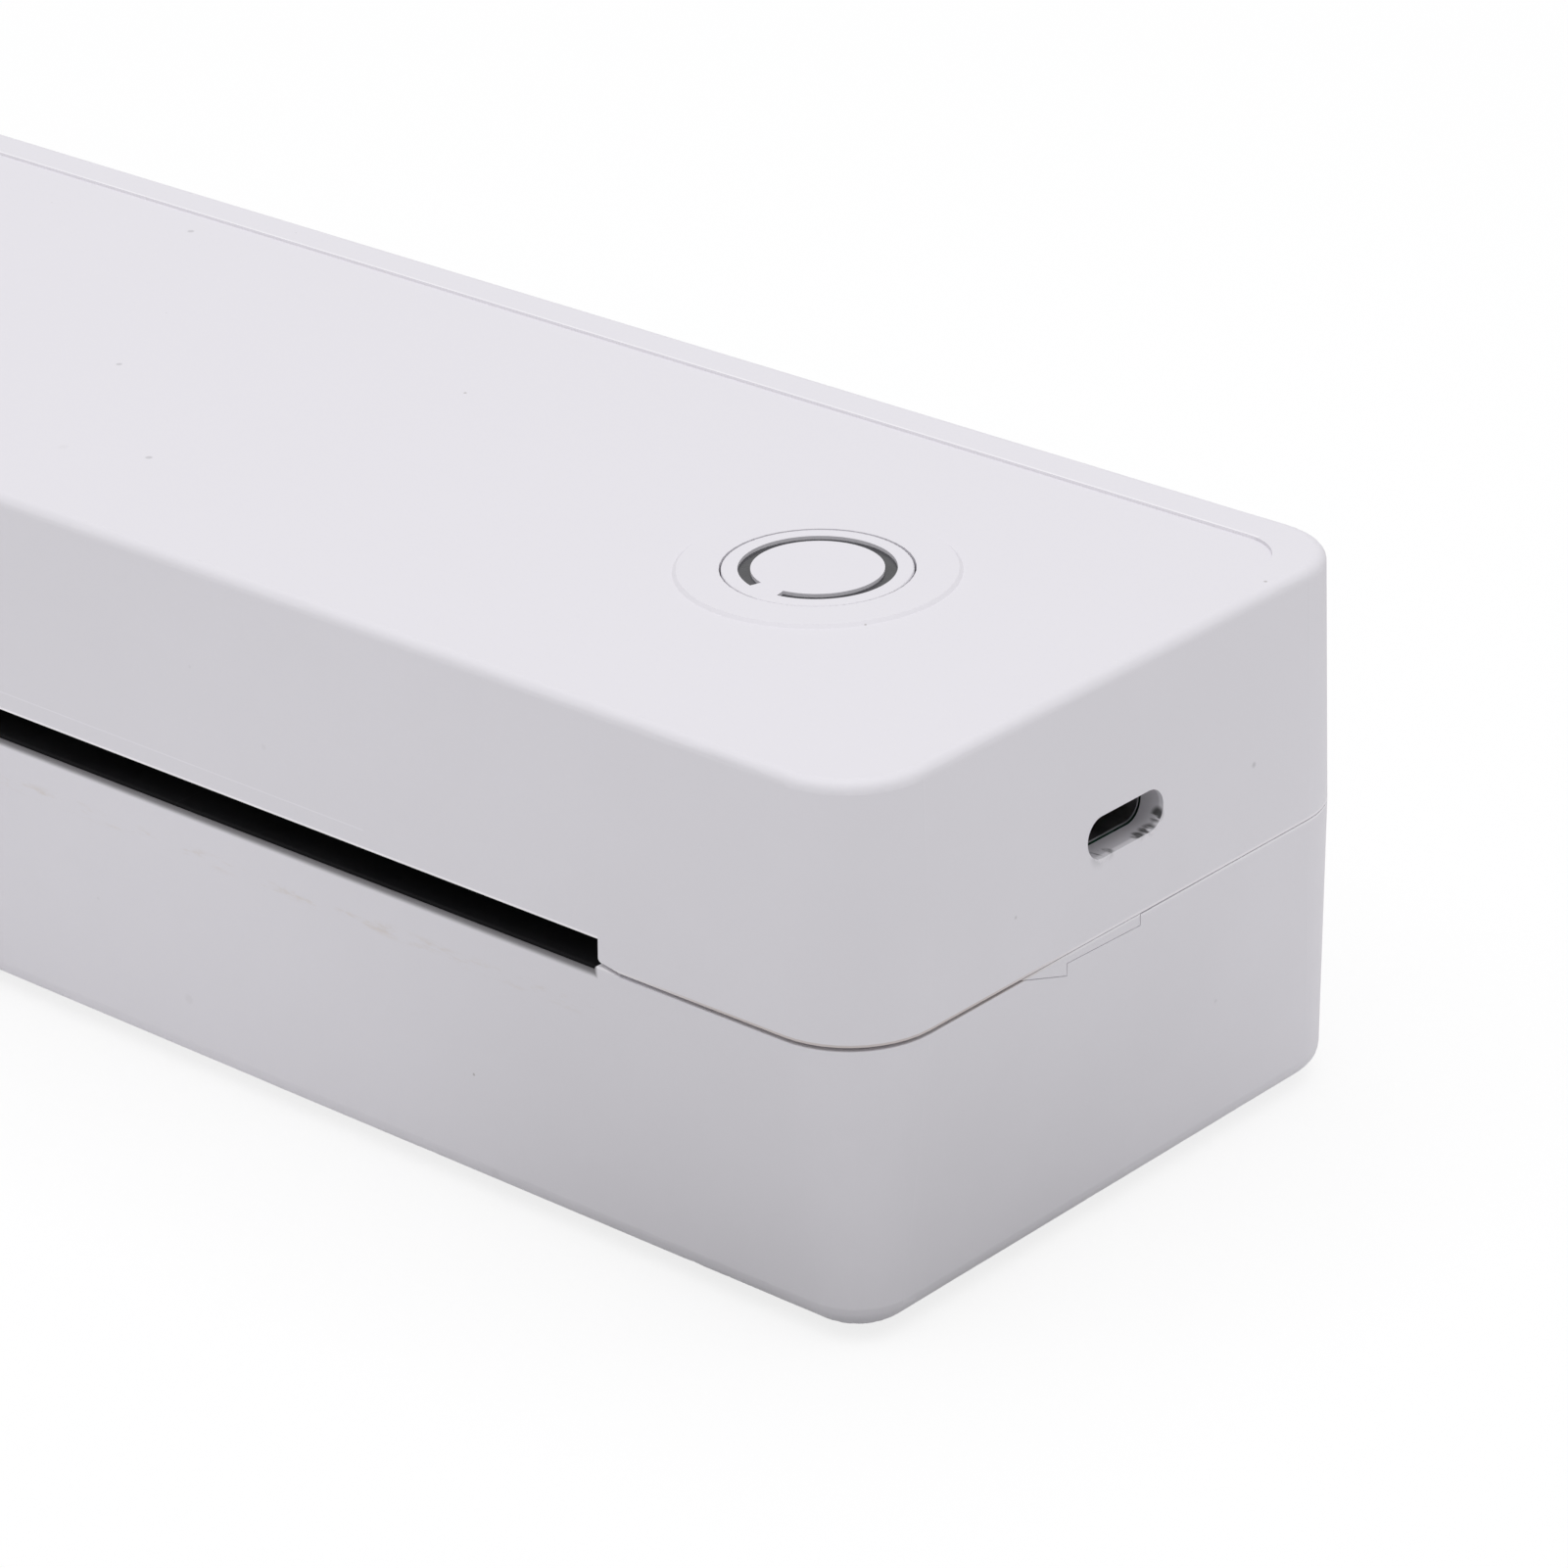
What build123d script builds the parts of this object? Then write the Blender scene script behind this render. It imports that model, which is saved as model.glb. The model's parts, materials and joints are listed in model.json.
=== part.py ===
from build123d import *
import math
import os

# Portable A4 thermal printer, in millimetres.
# X runs along the paper's width, with the USB end at +X. The paper leaves at -Y. Z is up.
# Parts are drawn about the middle of the housing, and moved at the end so that the origin is
# on the table under the middle of the overall size, hinge knuckles included.
# The "seam" is the parting plane between base and cover; heights named from it go up from there.

# Housing
end_room = 26.3               # from the slot's end to the housing's end
body_depth = 62.0
base_height = 23.9            # underside of the base to the seam
cover_height = 21.3           # seam to the top
foot_height = 1.0             # how far the feet stand proud of the underside
wall = 2.2
seam_gap = 0.1
front_drop = 0.25               # base's rim is this much lower at the front than at the hinge
drop_start_y = 12.0
cover_draft = 1.48            # degrees
base_draft = 1.52
seam_front_radius = 7.7       # vertical corners in plan
seam_rear_radius = 7.4
top_radius_loss = 0.6
bottom_front_radius = 4.2
bottom_rear_radius = 5.8
top_fillet = 0.95
bottom_fillet = 2.0
lip_thickness = 1.0           # the base's locating lip inside the cover's rim
lip_height = 1.0
lip_clearance = 0.2
lip_setback = 0.1             # lip's inner face short of the wall's
weld = 0.3                    # how deep an added rib or boss is rooted in its wall
floor_rib_width = 1.2
floor_rib_height = 5.0
floor_rib_pitch = 21.0
floor_rib_pairs = 4
long_rib_y = 12.0
long_rib_half = 100.0

# Recessed field on the top, and the pad round the button
recess_depth = 0.25
recess_end_inset = 3.8
recess_side_inset = 4.7
recess_radius = 4.7
pad_radius = 11.4
pad_slope = 0.3                 # how far the pad's edge slopes in

# Paper path
paper_width = 210.0
slot_side_room = 3.7          # past the paper's edge, each side
slot_top = 2.26               # above the seam
slot_drop = 0.36              # deck's top below the seam
lip_drop = 0.7                # base's lip below the seam
slot_mouth_radius = 0.4       # where the slot's end rounds into the seam
slot_step = 0.28              # the seam stands this much higher beside the slot
slot_step_flat = 0.5
slot_step_run = 2.2
base_slot_inset = 0.35        # base's slot end inside the cover's
lip_round = 0.45              # lip's thickness, and the round along it
flange_thickness = 0.9        # deck's flange over the base's wall
panel_thickness = 1.4         # cover's closing panel
deck_thickness = 1.6          # base's guide panel
panel_edge_room = 0.3
guide_rib_width = 1.2
guide_rib_height = 0.35
guide_rib_count = 13
guide_rib_margin = 4.3        # outermost rib inside the slot's end
sensor_x = 23.0
sensor_length = 6.0
sensor_width = 3.5
sensor_setback = 3.0          # behind the print head

# Button and ring
button_from_end = 30.65
button_radius = 7.58
button_gap = 0.16
button_cap_height = 3.0
button_edge_fillet = 0.12
button_flange_radius = 8.8
button_flange_height = 0.9
button_flange_gap = 0.1
button_stem_radius = 2.4
button_travel = 0.5
ring_outer_radius = 6.27
ring_inner_radius = 5.27
ring_depth = 1.2
ring_sink = 0.3               # ring's face below the cap's
ring_bridge_angle = 267.2     # middle of the ring's break, from +X
ring_bridge_width = 26.4      # degrees

# USB-C socket
usb_height = 8.14             # centre above the seam
usb_y = 0.28
usb_hole_width = 9.3
usb_hole_height = 3.5
usb_width = 8.94
usb_thickness = 3.26
usb_length = 7.35
usb_shell = 0.15
usb_back = 1.0                # closed back of the socket
usb_setback = 0.27            # mouth behind the wall's inner face
tongue_width = 6.7
tongue_thickness = 0.7
tongue_length = 4.6
tongue_fillet = 0.5

# Platen and print head
platen_from_front = 13.0
platen_radius = 6.25
platen_core_radius = 3.0
platen_end_room = 0.3         # roller inside the slot's end
platen_edge = 0.4
core_overhang = 0.6
journal_radius = 2.5
running_clearance = 0.04
bush_radius = 4.0
bush_length = 4.0
clip_thickness = 0.8
clip_gap = 0.2
clip_rim = 1.3
clip_opening = 2.0
shaft_overhang = 0.4
cheek_thickness = 3.0
cheek_half = 8.5
cheek_from_bracket = 1.5
nip_gap = 0.3                 # paper and squeeze, between roller and head
ceramic_thickness = 1.0
ceramic_depth = 9.0
ceramic_inset = 0.5
driver_depth = 4.6
driver_gap = 0.2
driver_drop = 0.1
driver_end_room = 8.0
driver_fillet = 0.5
heatsink_thickness = 4.0
heatsink_depth = 16.0
heatsink_edge = 1.0
heatsink_end_room = 1.5       # heatsink past the slot's end, each side
head_clearance = 0.8
head_lead = 4.0               # heating line behind the heatsink's front edge
pivot_radius = 1.25
pivot_pin_length = 3.0
pivot_from_rear = 2.5
pivot_lift = 0.1
pivot_depth = 3.0             # pin inside the heatsink
bracket_gap = 0.5
bracket_wall = 1.9
spring_leaf = 0.5
spring_width = 8.0
spring_chord = 34.0
spring_rise = 4.5
spring_pitch = 75.0
spring_setback = 3.0          # behind the platen's axis
spring_post_radius = 3.0

# Gears
gear_module = 0.5
gear_width = 4.0
gear_backlash = 0.14
pressure_angle = 20.0
tip_share = 0.9               # tooth's height above the pitch circle, in modules
root_share = 1.2
platen_teeth = 26
drive_teeth = 26
idler_small_teeth = 14
idler_large_teeth = 26
pinion_teeth = 12
drive_angle = 65.0            # from the platen's axis to the drive gear's, degrees
idler_angle = 24.0            # from the drive gear's axis to the idler's
axle_radius = 1.0
axle_overhang = 0.6
plate_thickness = 1.0
plate_margin = 4.0
gear_side_room = 0.6
gear_window_room = 0.8
pinion_bore_radius = 0.75

# Motor, board and battery
motor_radius = 7.5
motor_length = 12.0
motor_edge = 0.8
motor_boss_radius = 2.45
seat_gap = 0.05
board_thickness = 1.6
board_length = 73.0
board_rear_room = 11.5        # board's rear edge to the housing's rear
board_end_gap = 0.6
board_screw_left = 4.0        # screws in from the board's ends
board_screw_right = 16.0
board_screw_front = 4.2
board_screw_rear = 3.0
processor_size = (10.0, 10.0, 1.2)
driver_size = (6.0, 6.0, 1.0)
coil_size = (7.0, 7.0, 3.2)
lead_socket_size = (3.5, 9.5, 3.2)
reservoir_radius = 3.2
reservoir_height = 7.0
processor_x = 19.0            # from the board's left edge
driver_x = 33.0
coil_x = 49.5
reservoir_x = 60.0
parts_line = 2.0              # chips behind the board's middle line
socket_line = 1.1
lead_spread = 2.25            # each lead from the middle of its socket
battery_length = 130.0
battery_rear_room = 11.3       # battery's rear to the housing's rear
battery_height = 13.6
battery_radius = 3.0
battery_gap = 6.0             # battery to board
battery_room = 2.2            # battery behind the print head
pad_width = 12.0
pad_from_end = 20.0
lead_radius = 0.8
lead_bend = 1.4
lead_step = 3.0
lead_gap = 0.6                # lead behind the battery
cable_thickness = 0.3
cable_width = 24.0
cable_gap = 0.3               # cable behind the head
cable_arch = 2.2
cable_x = 27.0                # from the board's left edge
flat_socket_depth = 4.0
flat_socket_height = 1.6
flat_socket_rim = 1.5
switch_size = 6.0
switch_height = 3.4
plunger_radius = 1.75
plunger_rest = 0.3            # plunger still standing when the button is down

# Hinge
hinge_from_end = 16.0
hinge_pin_radius = 1.0
knuckle_radius = 3.0
knuckle_gap = 0.2
cover_knuckle_width = 6.0
base_knuckle_width = 4.0
gusset_height = 7.5
notch_clearance = 0.3

# Release tab
tab_front = -12.9             # Y of the notch's front corner
tab_step = -7.0
tab_rear = 2.0
tab_deep = 1.89
tab_step_depth = 0.82
tab_rear_depth = 1.07
tab_clearance = 0.05
tab_plate = 1.4
tab_plate_inset = 1.4         # plate narrower than the notch, each side
tab_arm_inset = 3.4
tab_arm_root = 1.6
tab_travel = 1.2
tab_drop = 12.0
tab_wall_gap = 0.15
tab_side_clearance = 0.1
tab_spring_rise = 2.5
tab_spring_chord = 8.0
tab_spring_width = 4.0
tab_spring_leaf = 0.3
tab_spring_height = 7.0       # spring's middle below the seam
guide_wall = 0.8
catch_height = 0.8
catch_reach = 0.6
catch_gap = 0.1
catch_nose = 0.1
catch_lift = 0.3
ledge_inset = 3.0

# Feet and screws
foot_length = 16.0
foot_width = 8.0
foot_inset = 0.6
foot_from_end = 17.0
foot_from_side = 11.0
foot_clearance = 0.1
foot_edge = 0.3
screw_radius = 1.0
screw_head_radius = 1.9
screw_head_height = 0.8
screw_clearance = 0.1
screw_length = 4.8            # threaded part of a housing screw
board_screw_length = 2.8
boss_radius = 2.4
boss_from_end = 8.5
boss_from_side = 5.6
boss_inner_x = 52.0
post_radius = 3.0
post_from_end = 17.0
post_inner_x = 44.0
post_y = 7.0
counterbore_depth = 1.0

# Derived places
seam_z = foot_height + base_height
top_z = seam_z + cover_height
slot_half = paper_width / 2 + slot_side_room
half_length = slot_half + end_room
body_length = 2 * half_length
half_depth = body_depth / 2
cover_rim_z = seam_z + seam_gap / 2
base_rim_z = seam_z - seam_gap / 2
front_rim_z = base_rim_z - front_drop
base_lean = base_height * math.tan(math.radians(base_draft))
ceiling_z = top_z - wall
floor_z = foot_height + wall
nip_z = seam_z + (slot_top - slot_drop) / 2
panel_z = seam_z + slot_top
panel_top_z = panel_z + panel_thickness
deck_top_z = seam_z - slot_drop
deck_z = deck_top_z - deck_thickness
lip_z = seam_z - lip_drop
flange_z = deck_top_z - flange_thickness
panel_inset = wall + panel_edge_room
wall_x = half_length - wall
hinge_x = half_length - hinge_from_end
hinge_axis = (half_depth, seam_z)

platen_y = platen_from_front - half_depth
platen_z = nip_z - platen_radius
roller_half = slot_half - platen_end_room
head_z = nip_z + nip_gap
heatsink_z = head_z + ceramic_thickness
heatsink_top_z = heatsink_z + heatsink_thickness
heatsink_front = platen_y - head_lead
heatsink_rear = heatsink_front + heatsink_depth
heatsink_half = slot_half + heatsink_end_room
pivot_axis = (heatsink_rear - pivot_from_rear, panel_top_z + pivot_radius + pivot_lift)
bracket_inner = heatsink_half + bracket_gap
bracket_outer = bracket_inner + pivot_pin_length
spring_y = platen_y + spring_setback
spring_crown_z = heatsink_top_z + spring_rise

button_x = half_length - button_from_end
field_z = top_z - recess_depth
ring_face_z = top_z - ring_sink
plunger_height = button_travel + plunger_rest
usb_z = seam_z + usb_height
usb_mouth_x = wall_x - usb_setback
usb_rear_x = usb_mouth_x - usb_length
board_top_z = usb_z - usb_thickness / 2
board_z = board_top_z - board_thickness
board_right = usb_mouth_x - board_end_gap
board_left = board_right - board_length
board_front = heatsink_rear + head_clearance
board_rear = half_depth - board_rear_room
board_middle_y = (board_front + board_rear) / 2
switch_top_z = board_top_z + switch_height
battery_right = board_left - battery_gap
battery_left = battery_right - battery_length
battery_front = heatsink_rear + battery_room
battery_rear = half_depth - battery_rear_room
battery_top_z = panel_top_z + battery_height
cable_middle_x = board_left + cable_x
lead_z = board_top_z + lead_socket_size[2] / 2

cheek_x = bracket_inner + cheek_from_bracket
shaft_right = cheek_x + bush_length / 2 + clip_gap + clip_thickness + shaft_overhang
plate_x = -(bracket_outer + plate_thickness / 2 + seat_gap)
plate_left = plate_x - plate_thickness / 2
plate_right = plate_x + plate_thickness / 2
pinion_plane_x = plate_left - gear_side_room - gear_width / 2
drive_plane_x = pinion_plane_x - gear_width - gear_side_room
axle_end_x = drive_plane_x - gear_width / 2 - axle_overhang
gear_reach = gear_module * (platen_teeth / 2 + 1) + gear_window_room
motor_z = panel_top_z + seat_gap + motor_radius

boss_x = half_length - boss_from_end
boss_y = half_depth - boss_from_side
post_x = half_length - post_from_end
foot_x = half_length - foot_from_end
foot_y = half_depth - foot_from_side

# release tab: its plate stands just inside the base's wall, its arm just inside the ledge
tab_outer_x = wall_x - base_lean * tab_drop / base_height - tab_wall_gap
tab_inner_x = tab_outer_x - tab_plate
guide_inner_x = tab_inner_x - tab_spring_rise
arm_face_x = wall_x - catch_reach - 2 * catch_gap
arm_back_x = arm_face_x - tab_plate
tab_middle_y = (tab_front + tab_rear) / 2


def mesh_distance(teeth_a, teeth_b):
    return gear_module * (teeth_a + teeth_b) / 2


def polar(point, distance, angle):
    """Point in the YZ plane at a distance and angle (degrees) from another."""
    turn = math.radians(angle)
    return (point[0] + distance * math.cos(turn), point[1] + distance * math.sin(turn))


platen_axis = (platen_y, platen_z)
drive_axis = polar(platen_axis, mesh_distance(platen_teeth, drive_teeth), drive_angle)
idler_axis = polar(drive_axis, mesh_distance(drive_teeth, idler_small_teeth), idler_angle)
motor_reach = mesh_distance(idler_large_teeth, pinion_teeth)
motor_angle = math.degrees(math.asin((motor_z - idler_axis[1]) / motor_reach))
motor_axis = polar(idler_axis, motor_reach, motor_angle)


def block(x_low, x_high, y_low, y_high, z_low, z_high):
    """Box between two corners."""
    middle = Pos((x_low + x_high) / 2, (y_low + y_high) / 2, (z_low + z_high) / 2)
    return middle * Box(x_high - x_low, y_high - y_low, z_high - z_low)


def through_panel(x_low, x_high, y_low, y_high):
    """Window cut through the cover's closing panel."""
    return block(x_low, x_high, y_low, y_high, panel_z - 1, panel_top_z + 1)


def through_deck(x_low, x_high, y_low, y_high):
    """Window cut through the base's deck and its ribs."""
    return block(x_low, x_high, y_low, y_high, deck_z - 1, deck_top_z + 1)


def rod(radius, x_start, x_end, axis):
    """Round bar along X on an axis given as (y, z)."""
    middle = Pos((x_start + x_end) / 2, axis[0], axis[1])
    return middle * Rot(0, 90, 0) * Cylinder(radius, abs(x_end - x_start))


def post(radius, x, y, z_low, z_high):
    """Round bar along Z."""
    return Pos(x, y, (z_low + z_high) / 2) * Cylinder(radius, z_high - z_low)


def prism_x(face, x_low, x_high):
    """Extrude a sketch drawn as (y, z) along X."""
    plane = Plane(origin=(x_low, 0, 0), x_dir=(0, 1, 0), z_dir=(1, 0, 0))
    return extrude(plane * face, amount=x_high - x_low)


def prism_y(face, y_low, y_high):
    """Extrude a sketch drawn as (x, z) along Y."""
    plane = Plane(origin=(0, y_high, 0), x_dir=(1, 0, 0), z_dir=(0, -1, 0))
    return extrude(plane * face, amount=y_high - y_low)


def outline(z, inset, front_radius, rear_radius):
    """The housing's plan at one height: a rectangle with rounded corners."""
    face = Rectangle(body_length - 2 * inset, body_depth - 2 * inset)
    face = fillet(face.vertices().group_by(Axis.Y)[0], front_radius)
    face = fillet(face.vertices().group_by(Axis.Y)[-1], rear_radius)
    return Pos(0, 0, z) * face


def straight_block(inset, z_low, z_high):
    """The housing's seam plan, inset and carried straight up."""
    face = outline(z_low, inset, seam_front_radius - inset, seam_rear_radius - inset)
    return extrude(face, amount=z_high - z_low)


def cover_form(inset, z_high):
    """Tapered cover block, from its rim to a height, inset all round."""
    lean = (z_high - seam_z) * math.tan(math.radians(cover_draft))
    loss = inset + top_radius_loss * (z_high - seam_z) / cover_height
    low = outline(cover_rim_z, inset, seam_front_radius - inset, seam_rear_radius - inset)
    high = outline(z_high, inset + lean, seam_front_radius - loss, seam_rear_radius - loss)
    return loft([low, high], ruled=True)


def base_form(inset, z_low):
    """Tapered base block, from a height up to its rim, inset all round."""
    drop = (seam_z - z_low) / base_height
    front = seam_front_radius + (bottom_front_radius - seam_front_radius) * drop
    rear = seam_rear_radius + (bottom_rear_radius - seam_rear_radius) * drop
    low = outline(z_low, inset + base_lean * drop, front - inset / 2, rear - inset / 2)
    high = outline(base_rim_z, inset, seam_front_radius - inset, seam_rear_radius - inset)
    return loft([low, high], ruled=True)


def boss_places():
    """Screw bosses that join the cover's shell and its panel."""
    return [(x, y) for x in (-boss_x, -boss_inner_x, boss_inner_x, boss_x) for y in (-boss_y, boss_y)]


def post_places():
    """Posts under the deck that the screws from below hold."""
    return [(side * x, post_y) for x in (post_x, post_inner_x) for side in (-1, 1)]


def foot_places():
    return [(x, y) for x in (-foot_x, foot_x) for y in (-foot_y, foot_y)]


def board_screw_places():
    columns = (board_left + board_screw_left, board_right - board_screw_right)
    return [(x, y) for x in columns for y in (board_front + board_screw_front, board_rear - board_screw_rear)]


def head_spring_places():
    return [-spring_pitch, 0, spring_pitch]


def knuckle_profile(radius, side):
    """Round knuckle with a gusset that runs up (side 1) or down (side -1) into the wall."""
    root = (-seam_gap, gusset_height)
    turn = math.atan2(root[1], root[0]) - math.acos(radius / math.hypot(*root))
    touch = (radius * math.cos(turn), radius * math.sin(turn))
    corners = [(-wall, 0), (0, 0), touch, root, (-wall, gusset_height)]
    gusset = make_face(Polyline([(y, side * z) for y, z in corners], close=True))
    return Pos(*hinge_axis) * (gusset + Circle(radius))


def knuckle_spans(side):
    """X spans of the cover's knuckle and of the base's two knuckles at one hinge."""
    middle = side * hinge_x
    inner = cover_knuckle_width / 2
    outer = inner + knuckle_gap
    cover_span = (middle - inner, middle + inner)
    base_spans = [
        (middle - outer - base_knuckle_width, middle - outer),
        (middle + outer, middle + outer + base_knuckle_width),
    ]
    return [cover_span], base_spans


def cover_knuckles():
    knuckles = Part()
    for side in (-1, 1):
        for low, high in knuckle_spans(side)[0]:
            knuckles += prism_x(knuckle_profile(knuckle_radius, 1), low, high)
    return knuckles


def base_knuckles():
    knuckles = Part()
    for side in (-1, 1):
        for low, high in knuckle_spans(side)[1]:
            knuckles += prism_x(knuckle_profile(knuckle_radius, -1), low, high)
    return knuckles


def knuckle_notches(which):
    """Room that one shell leaves for the other's knuckles: 0 for the cover's, 1 for the base's."""
    notches = Part()
    for side in (-1, 1):
        for low, high in knuckle_spans(side)[which]:
            room = knuckle_radius + notch_clearance
            notches += rod(room, low - knuckle_gap, high + knuckle_gap, hinge_axis)
    return notches


def hinge_rods(radius, overhang):
    """A rod through the knuckles of each hinge: its pin, or the pin's bore."""
    reach = cover_knuckle_width / 2 + knuckle_gap + base_knuckle_width + overhang
    return [rod(radius, side * hinge_x - reach, side * hinge_x + reach, hinge_axis) for side in (-1, 1)]


def mirrored_face(side):
    """Face from its right half's points, mirrored about X = 0."""
    left = [(-x, z) for x, z in reversed(side)]
    return make_face(Polyline(left + side, close=True))


def eased_mouth(face, half, mouth_z):
    """Round the two corners where a slot's ends meet the seam."""
    corners = [v for v in face.vertices() if math.dist((abs(v.X), v.Y), (half, mouth_z)) < 0.01]
    return fillet(corners, slot_mouth_radius)


def cover_slot_face():
    """Front view of the notch in the cover's wall; the rim steps up beside it."""
    rim = cover_rim_z + slot_step
    side = [
        (slot_half, seam_z + slot_top), (slot_half, rim), (slot_half + slot_step_flat, rim),
        (slot_half + slot_step_run, cover_rim_z), (slot_half + slot_step_run, cover_rim_z - 1),
    ]
    return eased_mouth(mirrored_face(side), slot_half, rim)


def base_slot_face():
    """Front view of the notch in the base's wall, open upwards."""
    half = slot_half - base_slot_inset
    rim = front_rim_z + slot_step
    side = [
        (half, lip_z), (half, rim), (slot_half + slot_step_run, rim),
        (slot_half + slot_step_run, rim + 1),
    ]
    return eased_mouth(mirrored_face(side), half, rim)


def base_shoulder_face():
    """Front view of the raised rim that carries the seam's step beside the slot."""
    side = [
        (slot_half + slot_step_run, front_rim_z - weld), (slot_half + slot_step_run, front_rim_z),
        (slot_half + slot_step_flat, front_rim_z + slot_step),
    ]
    return mirrored_face(side)


def wall_spans():
    """Y spans of the front and the rear wall at the seam."""
    return [(-half_depth, wall - half_depth), (half_depth - wall, half_depth)]


def stadium_x(width, height, x_low, x_high):
    """Slot-shaped bar along X on the USB socket's axis, wide along Y."""
    return prism_x(Pos(usb_y, usb_z) * SlotOverall(width, height), x_low, x_high)


def make_cover_shell():
    shell = cover_form(0, top_z)
    shell = fillet(shell.edges().group_by(Axis.Z)[-1], top_fillet)
    shell -= cover_form(wall, ceiling_z)
    # rebate inside the rim, which takes the base's locating lip
    rebate_inset = wall - lip_thickness - lip_clearance
    shell -= straight_block(rebate_inset, cover_rim_z, seam_z + lip_height + seam_gap)
    shell = with_top_details(shell)
    for low, high in wall_spans():
        shell -= prism_y(cover_slot_face(), low - 1, high + 1)
    shell -= stadium_x(usb_hole_width, usb_hole_height, wall_x - 1, half_length + 1)
    # screw bosses, the springs' posts, and the ledge over the release catch
    for x, y in boss_places():
        shell += post(boss_radius, x, y, panel_top_z, ceiling_z + weld)
        shell -= post(screw_radius, x, y, panel_top_z - 1, panel_z + screw_head_height + screw_length)
    for x in head_spring_places():
        shell += post(spring_post_radius, x, spring_y, spring_crown_z, ceiling_z + weld)
    shell += block(
        wall_x - catch_reach, wall_x + weld, tab_front + ledge_inset, tab_rear - ledge_inset,
        panel_z - catch_height, panel_z,
    )
    shell -= knuckle_notches(1)
    shell += cover_knuckles()
    for bore in hinge_rods(hinge_pin_radius + running_clearance, 1):
        shell -= bore
    return shell


def with_top_details(shell):
    """Recessed field, the pad round the button, and the button's hole."""
    field = RectangleRounded(
        body_length - 2 * recess_end_inset, body_depth - 2 * recess_side_inset, recess_radius
    )
    shell -= extrude(Pos(0, 0, field_z) * field, amount=recess_depth + 1)
    pad = Cone(pad_radius, pad_radius - pad_slope, recess_depth)
    shell += Pos(button_x, 0, top_z - recess_depth / 2) * pad
    return shell - post(button_radius + button_gap, button_x, 0, ceiling_z - 1, top_z + 1)


def make_cover_inner_panel():
    """Panel that closes the cover, with windows for the head, the gears, the catch and the sensor."""
    panel = straight_block(panel_inset, panel_z, panel_top_z)
    head_half = heatsink_half + head_clearance
    panel -= through_panel(-head_half, head_half, heatsink_front - head_clearance, board_front)
    panel -= through_panel(
        axle_end_x - gear_window_room, plate_left, drive_axis[0] - gear_reach, idler_axis[0] + gear_reach
    )
    panel -= through_panel(
        arm_back_x - tab_travel - catch_lift, half_length,
        tab_front + tab_plate_inset, tab_rear - tab_plate_inset,
    )
    for x, y in boss_places():
        panel -= post(screw_radius + screw_clearance, x, y, panel_z - 1, panel_top_z + 1)
        panel -= post(screw_head_radius + screw_clearance, x, y, panel_z - 1, panel_z + screw_head_height)
    # standoffs under the board
    for x, y in board_screw_places():
        panel += post(boss_radius, x, y, panel_top_z, board_z)
        panel -= post(screw_radius, x, y, board_top_z - board_screw_length, board_z + 1)
    return panel - sensor_block(screw_clearance, 1)


def make_main_board():
    board = block(board_left, board_right, board_front, board_rear, board_z, board_top_z)
    for x, y in board_screw_places():
        board -= post(screw_radius + screw_clearance, x, y, board_z - 1, board_top_z + 1)
    return board


def chip(x, y, size):
    """Block on the board about a middle point; size is its length, width and height."""
    length, width, height = size
    top_z = board_top_z + height
    return block(x - length / 2, x + length / 2, y - width / 2, y + width / 2, board_top_z, top_z)


def make_board_parts():
    """Chips, coil, capacitor and connectors on the board."""
    line_y = board_middle_y + parts_line
    socket_half = cable_width / 2 + flat_socket_rim
    flat_socket = block(
        cable_middle_x - socket_half, cable_middle_x + socket_half,
        board_front + 1, board_front + 1 + flat_socket_depth, board_top_z, board_top_z + flat_socket_height,
    )
    return Compound([
        chip(board_left + processor_x, line_y, processor_size),
        chip(board_left + driver_x, line_y, driver_size),
        chip(board_left + coil_x, line_y, coil_size),
        post(reservoir_radius, board_left + reservoir_x, line_y, board_top_z, board_top_z + reservoir_height),
        flat_socket,
        chip(board_left + lead_socket_size[0] / 2, board_middle_y + socket_line, lead_socket_size),
    ])


def make_usb_socket():
    shell = stadium_x(usb_width, usb_thickness, usb_rear_x, usb_mouth_x)
    inner_width = usb_width - 2 * usb_shell
    inner_height = usb_thickness - 2 * usb_shell
    return shell - stadium_x(inner_width, inner_height, usb_rear_x + usb_back, usb_mouth_x + 1)


def make_usb_tongue():
    back = usb_rear_x + usb_back
    tongue = block(
        back, back + tongue_length, usb_y - tongue_width / 2, usb_y + tongue_width / 2,
        usb_z - tongue_thickness / 2, usb_z + tongue_thickness / 2,
    )
    return fillet(tongue.edges().filter_by(Axis.Z).group_by(Axis.X)[-1], tongue_fillet)


def make_switch_body():
    half = switch_size / 2
    return block(button_x - half, button_x + half, -half, half, board_top_z, switch_top_z)


def make_switch_plunger():
    return post(plunger_radius, button_x, 0, switch_top_z, switch_top_z + plunger_height)


def c_ring(z_low, z_high):
    """Ring round the button's middle, open at its bridge."""
    ring = post(ring_outer_radius, button_x, 0, z_low, z_high)
    ring -= post(ring_inner_radius, button_x, 0, z_low - 1, z_high + 1)
    half = ring_bridge_width / 2
    turns = [math.radians(ring_bridge_angle + offset) for offset in (-half, 0, half)]
    reach = 2 * ring_outer_radius
    corners = [(0, 0)] + [(reach * math.cos(turn), reach * math.sin(turn)) for turn in turns]
    wedge = make_face(Polyline(corners, close=True))
    return ring - Pos(button_x, 0, z_low - 1) * extrude(wedge, amount=z_high - z_low + 2)


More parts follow.
